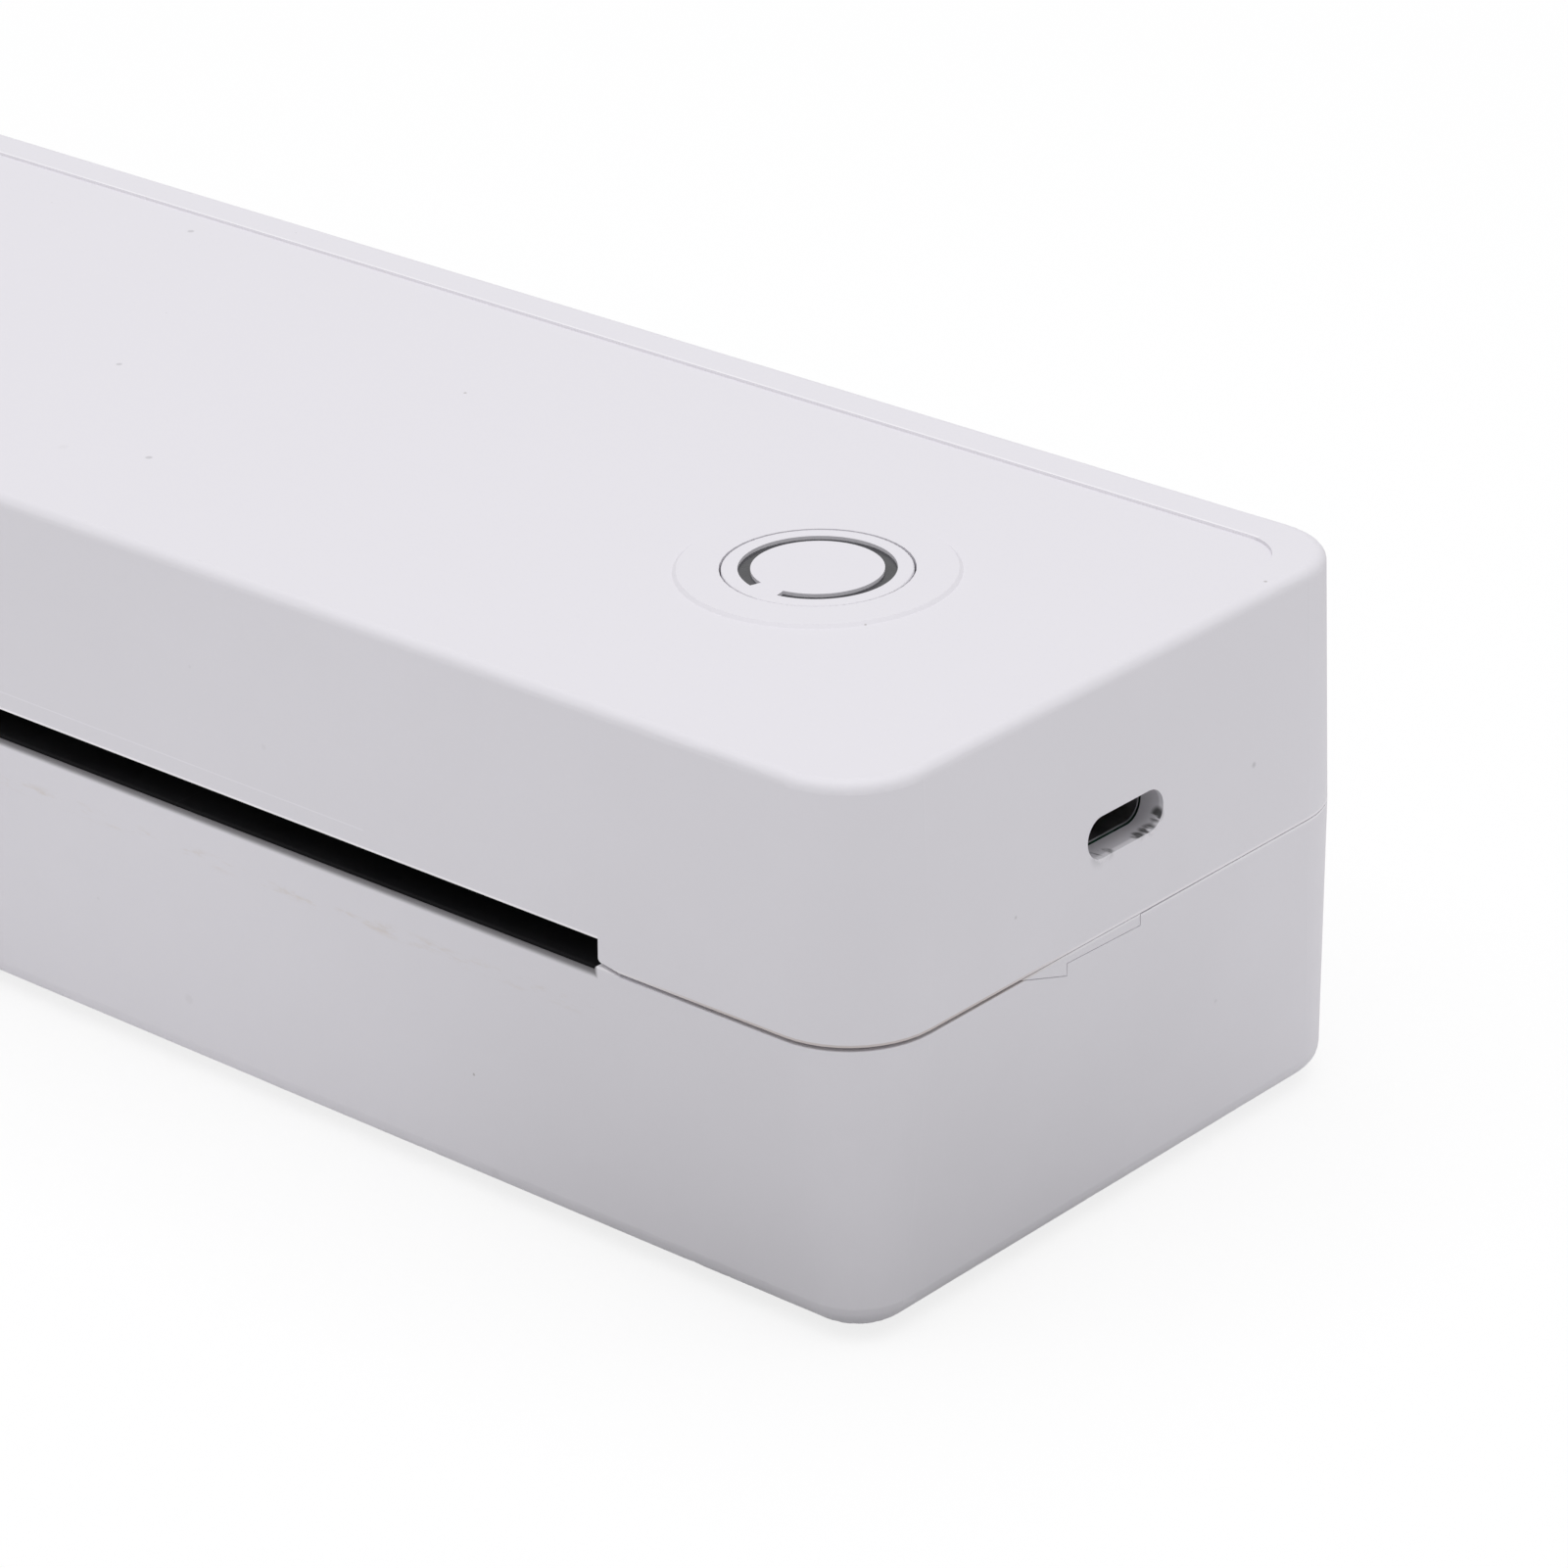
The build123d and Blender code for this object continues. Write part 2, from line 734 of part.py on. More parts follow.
def make_power_button():
    """Cap with a groove for the ring, a flange that stays under the ceiling, and a stem."""
    cap = post(button_radius, button_x, 0, top_z - button_cap_height, top_z)
    cap = fillet(cap.edges().group_by(Axis.Z)[-1], button_edge_fillet)
    flange_top = ceiling_z - button_flange_gap
    cap += post(button_flange_radius, button_x, 0, flange_top - button_flange_height, flange_top)
    cap += post(button_stem_radius, button_x, 0, switch_top_z + plunger_height, flange_top)
    return cap - c_ring(top_z - ring_depth, top_z + 1)


def make_button_ring():
    return c_ring(top_z - ring_depth, ring_face_z)


def make_battery_pack():
    pack = block(
        battery_left, battery_right, battery_front, battery_rear, panel_top_z, battery_top_z
    )
    return fillet(pack.edges().filter_by(Axis.X), battery_radius)


def make_battery_pads():
    """Foam strips between the battery and the cover's ceiling."""
    margin = battery_radius + 1
    return Compound([
        block(
            x - pad_width / 2, x + pad_width / 2,
            battery_front + margin, battery_rear - margin, battery_top_z, ceiling_z,
        )
        for x in (battery_right - pad_from_end, battery_left + pad_from_end)
    ])


def round_lead(points):
    """Round lead along straight runs with rounded corners."""
    path = FilletPolyline(*points, radius=lead_bend)
    section = Plane(origin=points[0], z_dir=path % 0) * Circle(lead_radius)
    return sweep(section, path=path)


def make_battery_lead():
    """Short lead from the battery's end down to the board."""
    y = board_middle_y + socket_line - lead_spread
    out_z = battery_top_z - battery_radius
    turn_x = battery_right + battery_gap / 2
    return round_lead([
        (battery_right, y, out_z), (turn_x, y, out_z), (turn_x, y, lead_z), (board_left, y, lead_z),
    ])


def make_motor_lead():
    """Lead from the motor's back, along the rear of the battery, to the board."""
    start_x = plate_right + motor_length
    start_y = motor_axis[0] + lead_step
    turn_x = start_x + 2 * lead_step
    lane_y = battery_rear + lead_radius + lead_gap
    end_x = board_left - battery_gap / 2
    end_y = board_middle_y + socket_line + lead_spread
    return round_lead([
        (start_x, start_y, lead_z), (turn_x, start_y, lead_z), (turn_x, lane_y, lead_z),
        (end_x, lane_y, lead_z), (end_x, end_y, lead_z), (board_left, end_y, lead_z),
    ])


def make_head_cable():
    """Flat cable that arches from the head's rear edge to its socket on the board."""
    low_y = heatsink_rear + cable_gap
    high_y = board_front + 1
    low_z = heatsink_z + heatsink_thickness / 2
    high_z = board_top_z + flat_socket_height / 2
    crown = high_z + cable_arch
    half = cable_thickness / 2
    points = [(low_y + half, low_z), (low_y + half, crown), (high_y - half, crown), (high_y - half, high_z)]
    bend = (high_y - low_y - cable_thickness) / 2 - 0.02
    strip = trace(FilletPolyline(*points, radius=bend), cable_thickness)
    return prism_x(strip, cable_middle_x - cable_width / 2, cable_middle_x + cable_width / 2)


def sensor_block(room, overrun):
    """The paper sensor, or its window when there is room round it and it runs past the panel."""
    front = heatsink_rear + sensor_setback
    half = sensor_length / 2
    return block(
        sensor_x - half - room, sensor_x + half + room, front - room, front + sensor_width + room,
        panel_z - overrun, panel_top_z + overrun,
    )


def make_paper_sensor():
    return sensor_block(0, 0)


def make_head_heatsink():
    half = heatsink_half
    plate = block(-half, half, heatsink_front, heatsink_rear, heatsink_z, heatsink_top_z)
    edge = plate.edges().filter_by(Axis.X).group_by(Axis.Y)[0].sort_by(Axis.Z)[-1]
    plate = chamfer(edge, heatsink_edge)
    for side in (-1, 1):
        plate -= rod(pivot_radius, side * (half - pivot_depth), side * (half + 1), pivot_axis)
    return plate


def make_head_ceramic():
    """Glazed strip that carries the heating line."""
    half = heatsink_half - ceramic_inset
    front = heatsink_front + ceramic_inset
    return block(-half, half, front, heatsink_front + ceramic_depth, head_z, heatsink_z)


def make_head_driver_cover():
    """Resin ridge over the head's driver chips."""
    half = heatsink_half - driver_end_room
    front = heatsink_front + ceramic_depth + driver_gap
    cover = block(-half, half, front, front + driver_depth, head_z - driver_drop, heatsink_z)
    return fillet(cover.edges().filter_by(Axis.X).group_by(Axis.Z)[0], driver_fillet)


def make_head_pivot_pins():
    inner = heatsink_half - pivot_depth
    outer = bracket_outer - seat_gap
    return Compound([rod(pivot_radius, side * inner, side * outer, pivot_axis) for side in (-1, 1)])


def make_head_brackets():
    """Blocks on the panel that the head's pivot pins turn in."""
    reach = pivot_radius + bracket_wall
    brackets = []
    for side in (-1, 1):
        low, high = sorted((side * bracket_inner, side * bracket_outer))
        bracket = block(
            low, high, pivot_axis[0] - reach, pivot_axis[0] + reach, panel_top_z, pivot_axis[1] + reach
        )
        bracket = fillet(bracket.edges().filter_by(Axis.X).group_by(Axis.Z)[-1], bracket_wall)
        brackets.append(bracket - rod(pivot_radius + running_clearance, low - 1, high + 1, pivot_axis))
    return Compound(brackets)


def bow(chord, rise, thickness):
    """Side view of a bowed leaf: its ends at height 0, its crown at the rise."""
    outer = ThreePointArc((-chord / 2, thickness), (0, rise), (chord / 2, thickness))
    inner = ThreePointArc((chord / 2, 0), (0, rise - thickness), (-chord / 2, 0))
    ends = [Line(outer @ 1, inner @ 0), Line(inner @ 1, outer @ 0)]
    return make_face([outer, inner] + ends)


def make_head_springs():
    """Bowed leaves that press the head down from posts on the ceiling."""
    leaf = extrude(Plane.XZ * bow(spring_chord, spring_rise, spring_leaf), amount=spring_width)
    leaf_y = spring_y + spring_width / 2
    return Compound([Pos(x, leaf_y, heatsink_top_z) * leaf for x in head_spring_places()])


def tooth_points(teeth):
    """One tooth's corners as (radius, angle from the tooth's middle), right flank then left."""
    pressure = math.radians(pressure_angle)
    pitch = gear_module * teeth / 2
    base = pitch * math.cos(pressure)
    tip = pitch + tip_share * gear_module
    root = pitch - root_share * gear_module
    half_thickness = (math.pi * gear_module / 2 - gear_backlash) / 2 / pitch
    spread = half_thickness + math.tan(pressure) - pressure

    def flank(radius):
        """Angle of the involute flank at a radius, straight below the base circle."""
        if radius <= base:
            return spread
        turn = math.acos(base / radius)
        return spread - (math.tan(turn) - turn)

    radii = [root, max(base, root), (pitch + tip) / 2, tip]
    right = [(radius, -flank(radius)) for radius in radii]
    left = [(radius, flank(radius)) for radius in reversed(radii)]
    return right + left


def gear(teeth, axis, phase, x_middle, bore):
    """Spur gear about an X axis; phase is the angle of one tooth's middle, in radians."""
    points = []
    for index in range(teeth):
        middle = phase + 2 * math.pi * index / teeth
        for radius, turn in tooth_points(teeth):
            points.append((radius * math.cos(middle + turn), radius * math.sin(middle + turn)))
    face = make_face(Polyline(points, close=True))
    return prism_x(Pos(*axis) * (face - Circle(bore)), x_middle - gear_width / 2, x_middle + gear_width / 2)


def meshed_phase(axis_a, teeth_a, phase_a, axis_b, teeth_b):
    """Phase that puts gear B's teeth in gear A's gaps."""
    line = math.atan2(axis_b[1] - axis_a[1], axis_b[0] - axis_a[0])
    share_a = teeth_a * (line - phase_a) / (2 * math.pi)
    share_b = 0.5 - share_a
    return line + math.pi - 2 * math.pi * share_b / teeth_b


platen_phase = math.pi / 2
drive_phase = meshed_phase(platen_axis, platen_teeth, platen_phase, drive_axis, drive_teeth)
idler_phase = meshed_phase(drive_axis, drive_teeth, drive_phase, idler_axis, idler_small_teeth)
pinion_phase = meshed_phase(idler_axis, idler_large_teeth, idler_phase, motor_axis, pinion_teeth)


def make_platen_gear():
    return gear(platen_teeth, platen_axis, platen_phase, drive_plane_x, journal_radius)


def make_drive_gear():
    return gear(drive_teeth, drive_axis, drive_phase, drive_plane_x, axle_radius + running_clearance)


def make_idler_gear():
    """Compound gear: the small wheel drives, the large one takes the pinion."""
    bore = axle_radius + running_clearance
    small = gear(idler_small_teeth, idler_axis, idler_phase, drive_plane_x, bore)
    large = gear(idler_large_teeth, idler_axis, idler_phase, pinion_plane_x, bore)
    low = drive_plane_x + gear_width / 2
    high = pinion_plane_x - gear_width / 2
    hub_radius = gear_module * (idler_small_teeth / 2 - root_share)
    return small + (rod(hub_radius, low, high, idler_axis) - rod(bore, low, high, idler_axis)) + large


def make_motor_pinion():
    return gear(pinion_teeth, motor_axis, pinion_phase, pinion_plane_x, pinion_bore_radius)


def make_gear_plate():
    """Steel side plate that carries the motor and the two axles."""
    plate = block(
        plate_left, plate_right, drive_axis[0] - plate_margin, motor_axis[0] + motor_radius + 1,
        panel_top_z, motor_z + motor_radius,
    )
    plate = fillet(plate.edges().filter_by(Axis.X).group_by(Axis.Z)[-1], plate_margin)
    plate -= rod(motor_boss_radius + seat_gap, plate_left - 1, plate_right + 1, motor_axis)
    for axis in (drive_axis, idler_axis):
        plate -= rod(axle_radius, plate_left - 1, plate_right + 1, axis)
    return plate


def make_gear_axles():
    return Compound([rod(axle_radius, axle_end_x, plate_right, axis) for axis in (drive_axis, idler_axis)])


def make_motor():
    """Motor can with a boss that sits in the plate."""
    can = rod(motor_radius, plate_right, plate_right + motor_length, motor_axis)
    can = chamfer(can.edges().group_by(Axis.X)[-1], motor_edge)
    return can + rod(motor_boss_radius, plate_left, plate_right, motor_axis)


def make_motor_shaft():
    far_end = pinion_plane_x - gear_width / 2 - shaft_overhang
    return rod(pinion_bore_radius, far_end, plate_left - seat_gap, motor_axis)


def make_platen_roller():
    roller = rod(platen_radius, -roller_half, roller_half, platen_axis)
    roller = chamfer(roller.edges(), platen_edge)
    return roller - rod(platen_core_radius, -roller_half - 1, roller_half + 1, platen_axis)


def make_platen_shaft():
    core_half = roller_half + core_overhang
    left = drive_plane_x - gear_width / 2 - shaft_overhang
    return rod(platen_core_radius, -core_half, core_half, platen_axis) + rod(
        journal_radius, left, shaft_right, platen_axis
    )


def make_platen_bushes():
    bushes = []
    for side in (-1, 1):
        low = side * cheek_x - bush_length / 2
        high = low + bush_length
        bore = rod(journal_radius + running_clearance, low - 1, high + 1, platen_axis)
        bushes.append(rod(bush_radius, low, high, platen_axis) - bore)
    return Compound(bushes)


def make_shaft_clips():
    """Open clips that keep the shaft from sliding out of its bushes."""
    near = cheek_x + bush_length / 2 + clip_gap
    clips = []
    for side in (-1, 1):
        low, high = sorted((side * near, side * (near + clip_thickness)))
        clip = rod(journal_radius + clip_rim, low, high, platen_axis)
        clip -= rod(journal_radius, low - 1, high + 1, platen_axis)
        half = clip_opening / 2
        clip -= block(low - 1, high + 1, platen_y - half, platen_y + half, platen_z - platen_radius, platen_z)
        clips.append(clip)
    return Compound(clips)


def tab_notch_face():
    """Side view of the notch in the base's right rim that the release tab fills."""
    corners = [
        (tab_front, seam_z), (tab_step, seam_z - tab_deep), (tab_step, seam_z - tab_step_depth),
        (tab_rear, seam_z - tab_rear_depth), (tab_rear, seam_z + 1), (tab_front, seam_z + 1),
    ]
    return make_face(Polyline(corners, close=True))


def make_release_tab():
    """Tab whose face closes the notch, on a plate that slides inward with a catch on its arm."""
    nose_face = offset(tab_notch_face(), amount=-tab_clearance)
    nose = prism_x(nose_face, tab_inner_x, half_length - tab_clearance)
    nose -= block(tab_inner_x - 1, half_length + 1, 2 * tab_front, -2 * tab_front, base_rim_z, seam_z + 2)
    plate = block(
        tab_inner_x, tab_outer_x, tab_front + tab_plate_inset, tab_rear - tab_plate_inset,
        seam_z - tab_drop, base_rim_z,
    )
    arm_front = tab_front + tab_arm_inset
    arm_rear = tab_rear - tab_arm_inset
    arm_top = panel_z + catch_lift + catch_height
    arm = block(arm_back_x, arm_face_x, arm_front, arm_rear, base_rim_z - tab_arm_root, arm_top)
    catch = block(
        arm_back_x, arm_face_x + catch_nose, arm_front, arm_rear, panel_z + catch_lift, arm_top
    )
    return plate + nose + arm + catch


def tab_guide_block():
    """Pocket on the base's wall that the tab's plate slides in."""
    low_y = tab_front + tab_plate_inset - tab_side_clearance
    high_y = tab_rear - tab_plate_inset + tab_side_clearance
    low_z = seam_z - tab_drop - tab_side_clearance
    pocket = block(
        guide_inner_x - guide_wall, wall_x + weld, low_y - guide_wall, high_y + guide_wall,
        low_z - guide_wall, deck_z - seam_gap,
    )
    return pocket - block(guide_inner_x, half_length, low_y, high_y, low_z, seam_z + 1)


def make_release_spring():
    """Small bowed leaf that pushes the tab's plate outward."""
    side_view = bow(tab_spring_chord, tab_spring_rise, tab_spring_leaf)
    leaf = extrude(Plane.XZ * side_view, amount=tab_spring_width)
    upright = Rot(0, 90, 0) * (Pos(0, tab_spring_width / 2, 0) * leaf)
    return Pos(guide_inner_x, tab_middle_y, seam_z - tab_spring_height) * upright


def make_base_shell():
    shell = base_form(0, foot_height)
    shell = fillet(shell.edges().group_by(Axis.Z)[0], bottom_fillet)
    shell -= base_form(wall, floor_z)
    shell -= front_wedge()
    shell += locating_lip()
    for low, high in wall_spans():
        shell += prism_y(base_shoulder_face(), low, high)
        shell -= prism_y(base_slot_face(), low - 1, high + 1)
    for side in (-1, 1):
        shell -= lip_cut(side)
        shell += bearing_cheek(side)
    # ledge under the deck's front edge
    shell += block(
        -slot_half, slot_half, wall - half_depth - weld, platen_y - platen_radius - head_clearance - clip_gap,
        deck_z - deck_thickness, deck_z,
    )
    for x, y in post_places():
        shell -= post(screw_radius + 2 * screw_clearance, x, y, foot_height - 1, floor_z + 1)
        head_room = screw_head_radius + 4 * screw_clearance
        shell -= post(head_room, x, y, foot_height - 1, foot_height + counterbore_depth)
    recess = SlotOverall(foot_length + 2 * foot_clearance, foot_width + 2 * foot_clearance)
    for x, y in foot_places():
        shell -= extrude(Pos(x, y, foot_height - 1) * recess, amount=1 + foot_inset)
    shell += floor_ribs()
    shell += tab_guide_block()
    shell -= prism_x(tab_notch_face(), wall_x - lip_thickness, half_length + 1)
    shell -= knuckle_notches(0)
    shell += base_knuckles()
    for bore in hinge_rods(hinge_pin_radius, 1):
        shell -= bore
    return shell


def front_wedge():
    """Sliver off the base's rim, which opens the seam towards the front."""
    far = -half_depth - 1
    corners = [
        (drop_start_y, base_rim_z), (wall - half_depth, front_rim_z), (far, front_rim_z), (far, seam_z),
        (drop_start_y, seam_z),
    ]
    return prism_x(make_face(Polyline(corners, close=True)), -half_length - 1, half_length + 1)


def locating_lip():
    """Lip inside the cover's rim, left off along the rear wall and at the front slot."""
    root_z = front_rim_z - weld
    lip = straight_block(wall - lip_thickness, root_z, seam_z + lip_height)
    lip -= straight_block(wall - lip_setback, root_z, seam_z + lip_height)
    front_clear = slot_half + slot_step_run
    lip -= block(-front_clear, front_clear, -half_depth, 0, base_rim_z - 1, top_z)
    rear_clear = half_length - seam_rear_radius
    return lip - block(-rear_clear, rear_clear, 0, half_depth, base_rim_z - 1, top_z)


def lip_cut(side):
    """Round along the slot's lower lip, front (-1) or rear (1), and the rebate behind it for the deck."""
    half = slot_half - base_slot_inset
    lean = base_lean * (lip_drop + lip_round) / base_height
    middle_y = side * (half_depth - lean - lip_round)
    middle_z = lip_z - lip_round
    corner = Pos(middle_y + side * lip_round, middle_z + lip_round) * Rectangle(2 * lip_round, 2 * lip_round)
    corner -= Pos(middle_y, middle_z) * Circle(lip_round)
    near, far = sorted((middle_y, side * (half_depth - wall - 1)))
    return prism_x(corner, -half, half) + block(-half, half, near, far, flange_z, seam_z)


def bearing_cheek(side):
    """Wall across the base with an open notch that a bush drops into."""
    low = side * cheek_x - cheek_thickness / 2
    high = low + cheek_thickness
    room = bush_radius + seat_gap
    cheek = block(low, high, platen_y - cheek_half, platen_y + cheek_half, floor_z - weld, deck_z - seam_gap)
    cheek -= rod(room, low - 1, high + 1, platen_axis)
    return cheek - block(low - 1, high + 1, platen_y - room, platen_y + room, platen_z, seam_z)


def floor_ribs():
    """Low stiffening ribs on the base's floor, clear of the deck's posts."""
    rib_top = floor_z + floor_rib_height
    half = floor_rib_width / 2
    side_y = half_depth - wall - base_lean
    ribs = block(
        -long_rib_half, long_rib_half, long_rib_y - half, long_rib_y + half, floor_z - weld, rib_top
    )
    for index in range(-floor_rib_pairs, floor_rib_pairs + 1):
        x = index * floor_rib_pitch
        if abs(abs(x) - post_inner_x) > post_radius + floor_rib_width:
            ribs += block(x - half, x + half, -side_y, side_y, floor_z - weld, rib_top)
    return ribs


def make_paper_deck():
    """Guide panel over the base, with runners for the paper and the roller's window."""
    deck = straight_block(panel_inset, deck_z, deck_top_z)
    # flanges over the walls, up to the lips of the two slots
    flange_half = slot_half - base_slot_inset - seat_gap
    for side in (-1, 1):
        edge = side * (half_depth - base_lean * (lip_drop + lip_round) / base_height - lip_round - seat_gap)
        low, high = sorted((edge, side * (half_depth - panel_inset - weld)))
        deck += block(-flange_half, flange_half, low, high, flange_z, deck_top_z)
    roller_room = platen_radius + head_clearance
    window_half = roller_half + 2 * core_overhang
    deck -= through_deck(-window_half, window_half, platen_y - roller_room, platen_y + roller_room)
    bush_end = shaft_right + clip_gap
    bush_room = bush_radius + head_clearance
    deck -= through_deck(-bush_end, bush_end, platen_y - bush_room, platen_y + bush_room)
    deck -= through_deck(
        axle_end_x - gear_window_room, pinion_plane_x + gear_width / 2,
        platen_y - gear_reach, platen_y + gear_reach,
    )
    deck -= through_deck(guide_inner_x - guide_wall, half_length, tab_front, tab_rear)
    rib_front = platen_y + roller_room + floor_rib_width
    rib_rear = half_depth - wall - lip_thickness - lip_clearance
    rib_reach = slot_half - guide_rib_margin
    for index in range(guide_rib_count):
        x = rib_reach * (2 * index / (guide_rib_count - 1) - 1)
        rib = block(
            x - guide_rib_width / 2, x + guide_rib_width / 2, rib_front, rib_rear,
            deck_top_z - weld, deck_top_z + guide_rib_height,
        )
        deck += chamfer(rib.edges().filter_by(Axis.X).group_by(Axis.Z)[-1], weld)
    for x, y in post_places():
        deck += post(post_radius, x, y, floor_z, deck_z + weld)
        deck -= post(screw_radius, x, y, floor_z - 1, foot_height + counterbore_depth + screw_length)
    return deck - knuckle_notches(0) - knuckle_notches(1)


def make_rubber_feet():
    feet = []
    for x, y in foot_places():
        foot = extrude(Pos(x, y, 0) * SlotOverall(foot_length, foot_width), amount=foot_height + foot_inset)
        feet.append(chamfer(foot.edges().group_by(Axis.Z)[0], foot_edge))
    return Compound(feet)


def pan_screw(x, y, seat_z, up, length):
    """Screw with its head's underside at seat_z; up is 1 when the thread points up."""
    far = seat_z + up * length
    near = seat_z - up * screw_head_height
    thread = post(screw_radius, x, y, min(seat_z, far), max(seat_z, far))
    return thread + post(screw_head_radius, x, y, min(seat_z, near), max(seat_z, near))


def make_panel_screws():
    seat = panel_z + screw_head_height
    return Compound([pan_screw(x, y, seat, 1, screw_length) for x, y in boss_places()])


def make_base_screws():
    seat = foot_height + counterbore_depth
    return Compound([pan_screw(x, y, seat, 1, screw_length) for x, y in post_places()])


def make_board_screws():
    return Compound([pan_screw(x, y, board_top_z, -1, board_screw_length) for x, y in board_screw_places()])


def make_hinge_pins():
    return Compound(hinge_rods(hinge_pin_radius, 0))


def make_all():
    return {
        "base_shell": make_base_shell(),
        "paper_deck": make_paper_deck(),
        "rubber_feet": make_rubber_feet(),
        "base_screws": make_base_screws(),
        "hinge_pins": make_hinge_pins(),
        "release_tab": make_release_tab(),
        "release_spring": make_release_spring(),
        "platen_roller": make_platen_roller(),
        "platen_shaft": make_platen_shaft(),
        "platen_gear": make_platen_gear(),
        "platen_bushes": make_platen_bushes(),
        "shaft_clips": make_shaft_clips(),
        "cover_shell": make_cover_shell(),
        "cover_inner_panel": make_cover_inner_panel(),
        "panel_screws": make_panel_screws(),
        "power_button": make_power_button(),
        "button_ring": make_button_ring(),
        "switch_body": make_switch_body(),
        "switch_plunger": make_switch_plunger(),
        "main_board": make_main_board(),
        "board_parts": make_board_parts(),
        "board_screws": make_board_screws(),
        "usb_socket": make_usb_socket(),
        "usb_tongue": make_usb_tongue(),
        "battery_pack": make_battery_pack(),
        "battery_pads": make_battery_pads(),
        "battery_lead": make_battery_lead(),
        "motor_lead": make_motor_lead(),
        "head_cable": make_head_cable(),
        "paper_sensor": make_paper_sensor(),
        "head_heatsink": make_head_heatsink(),
        "head_ceramic": make_head_ceramic(),
        "head_driver_cover": make_head_driver_cover(),
        "head_pivot_pins": make_head_pivot_pins(),
        "head_brackets": make_head_brackets(),
        "head_springs": make_head_springs(),
        "motor": make_motor(),
        "motor_shaft": make_motor_shaft(),
        "motor_pinion": make_motor_pinion(),
        "idler_gear": make_idler_gear(),
        "drive_gear": make_drive_gear(),
        "gear_plate": make_gear_plate(),
        "gear_axles": make_gear_axles(),
    }


# the hinge's knuckles stand out at the rear only, so the middle of the overall depth lies behind
origin = Pos(0, -knuckle_radius / 2, 0)
os.makedirs("parts", exist_ok=True)
for name, shape in make_all().items():
    export_step(origin * shape, "parts/" + name + ".step")
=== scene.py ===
import bmesh
import bpy
import json
import math
import numpy as np
from mathutils import Matrix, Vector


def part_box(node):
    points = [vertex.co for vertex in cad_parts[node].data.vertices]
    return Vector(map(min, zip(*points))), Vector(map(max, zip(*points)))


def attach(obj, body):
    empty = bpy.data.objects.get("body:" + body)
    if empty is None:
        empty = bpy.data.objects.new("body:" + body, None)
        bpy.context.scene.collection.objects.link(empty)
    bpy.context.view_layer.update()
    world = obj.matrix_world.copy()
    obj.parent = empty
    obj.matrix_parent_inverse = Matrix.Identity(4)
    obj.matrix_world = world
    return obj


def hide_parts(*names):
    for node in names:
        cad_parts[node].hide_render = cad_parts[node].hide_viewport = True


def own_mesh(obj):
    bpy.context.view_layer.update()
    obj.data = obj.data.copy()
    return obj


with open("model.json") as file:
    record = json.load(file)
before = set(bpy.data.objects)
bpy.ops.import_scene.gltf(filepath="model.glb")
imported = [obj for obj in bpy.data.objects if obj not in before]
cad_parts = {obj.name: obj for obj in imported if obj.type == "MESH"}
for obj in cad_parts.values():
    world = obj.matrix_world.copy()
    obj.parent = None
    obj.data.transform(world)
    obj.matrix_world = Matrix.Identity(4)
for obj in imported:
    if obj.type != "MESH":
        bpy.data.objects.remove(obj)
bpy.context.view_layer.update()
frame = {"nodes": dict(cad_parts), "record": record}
mm = 0.001
print("frame loaded:", len(frame["nodes"]), "nodes")

# Places read from the frame, in metres
coverLow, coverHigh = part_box("cover_shell")
socketLow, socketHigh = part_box("usb_socket")
tongueLow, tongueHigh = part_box("usb_tongue")
ceramicLow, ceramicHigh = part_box("head_ceramic")
rollerLow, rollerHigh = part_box("platen_roller")
jointPlace = {joint["name"]: joint.get("pos_m") for joint in frame["record"]["behaviour"]["joints"]}
seamZ = jointPlace["cover_hinge"][2]
rearY = jointPlace["cover_hinge"][1]
frontY = coverLow[1]
rightX = coverHigh[0]
socketY = (socketLow[1] + socketHigh[1]) / 2
usbZ = (socketLow[2] + socketHigh[2]) / 2
heatLineY = (rollerLow[1] + rollerHigh[1]) / 2      # the heating line stands over the roller's middle
slotHalf = 108.7 * mm                               # half the paper slot's length


cameraSettings = {
    "place": (0.3974, -0.3390, 0.2379),
    "azimuth": 41.34,        # degrees round to the right of the front
    "elevation": 25.203,     # degrees above the horizon
    "roll": -0.949,
    "lens": 143.0,           # millimetres, for the film width below
    "filmWidth": 36.0,
    "clipStart": 0.01,
}


def makeCamera(settings):
    turn = math.radians(settings["azimuth"])
    rise = math.radians(settings["elevation"])
    roll = math.radians(settings["roll"])
    forward = np.array([-math.sin(turn) * math.cos(rise), math.cos(turn) * math.cos(rise), -math.sin(rise)])
    right = np.array([math.cos(turn), math.sin(turn), 0.0])
    up = np.cross(right, forward)
    rolledRight = right * math.cos(roll) + up * math.sin(roll)
    rolledUp = up * math.cos(roll) - right * math.sin(roll)
    data = bpy.data.cameras.new("camera")
    data.lens = settings["lens"]
    data.sensor_width = settings["filmWidth"]
    data.clip_start = settings["clipStart"]
    camera = bpy.data.objects.new("camera", data)
    bpy.context.scene.collection.objects.link(camera)
    rows = np.eye(4)
    rows[:3, 0] = rolledRight
    rows[:3, 1] = rolledUp
    rows[:3, 2] = -forward
    rows[:3, 3] = settings["place"]
    camera.matrix_world = Matrix(rows.tolist())
    bpy.context.scene.camera = camera


makeCamera(cameraSettings)
print("camera set")


def addNode(tree, kind, **values):
    node = tree.nodes.new(kind)
    for name, value in values.items():
        setattr(node, name, value)
    return node


def feed(tree, socket, value):
    # a socket is linked, a plain value is set
    if isinstance(value, bpy.types.NodeSocket):
        tree.links.new(value, socket)
    else:
        socket.default_value = value


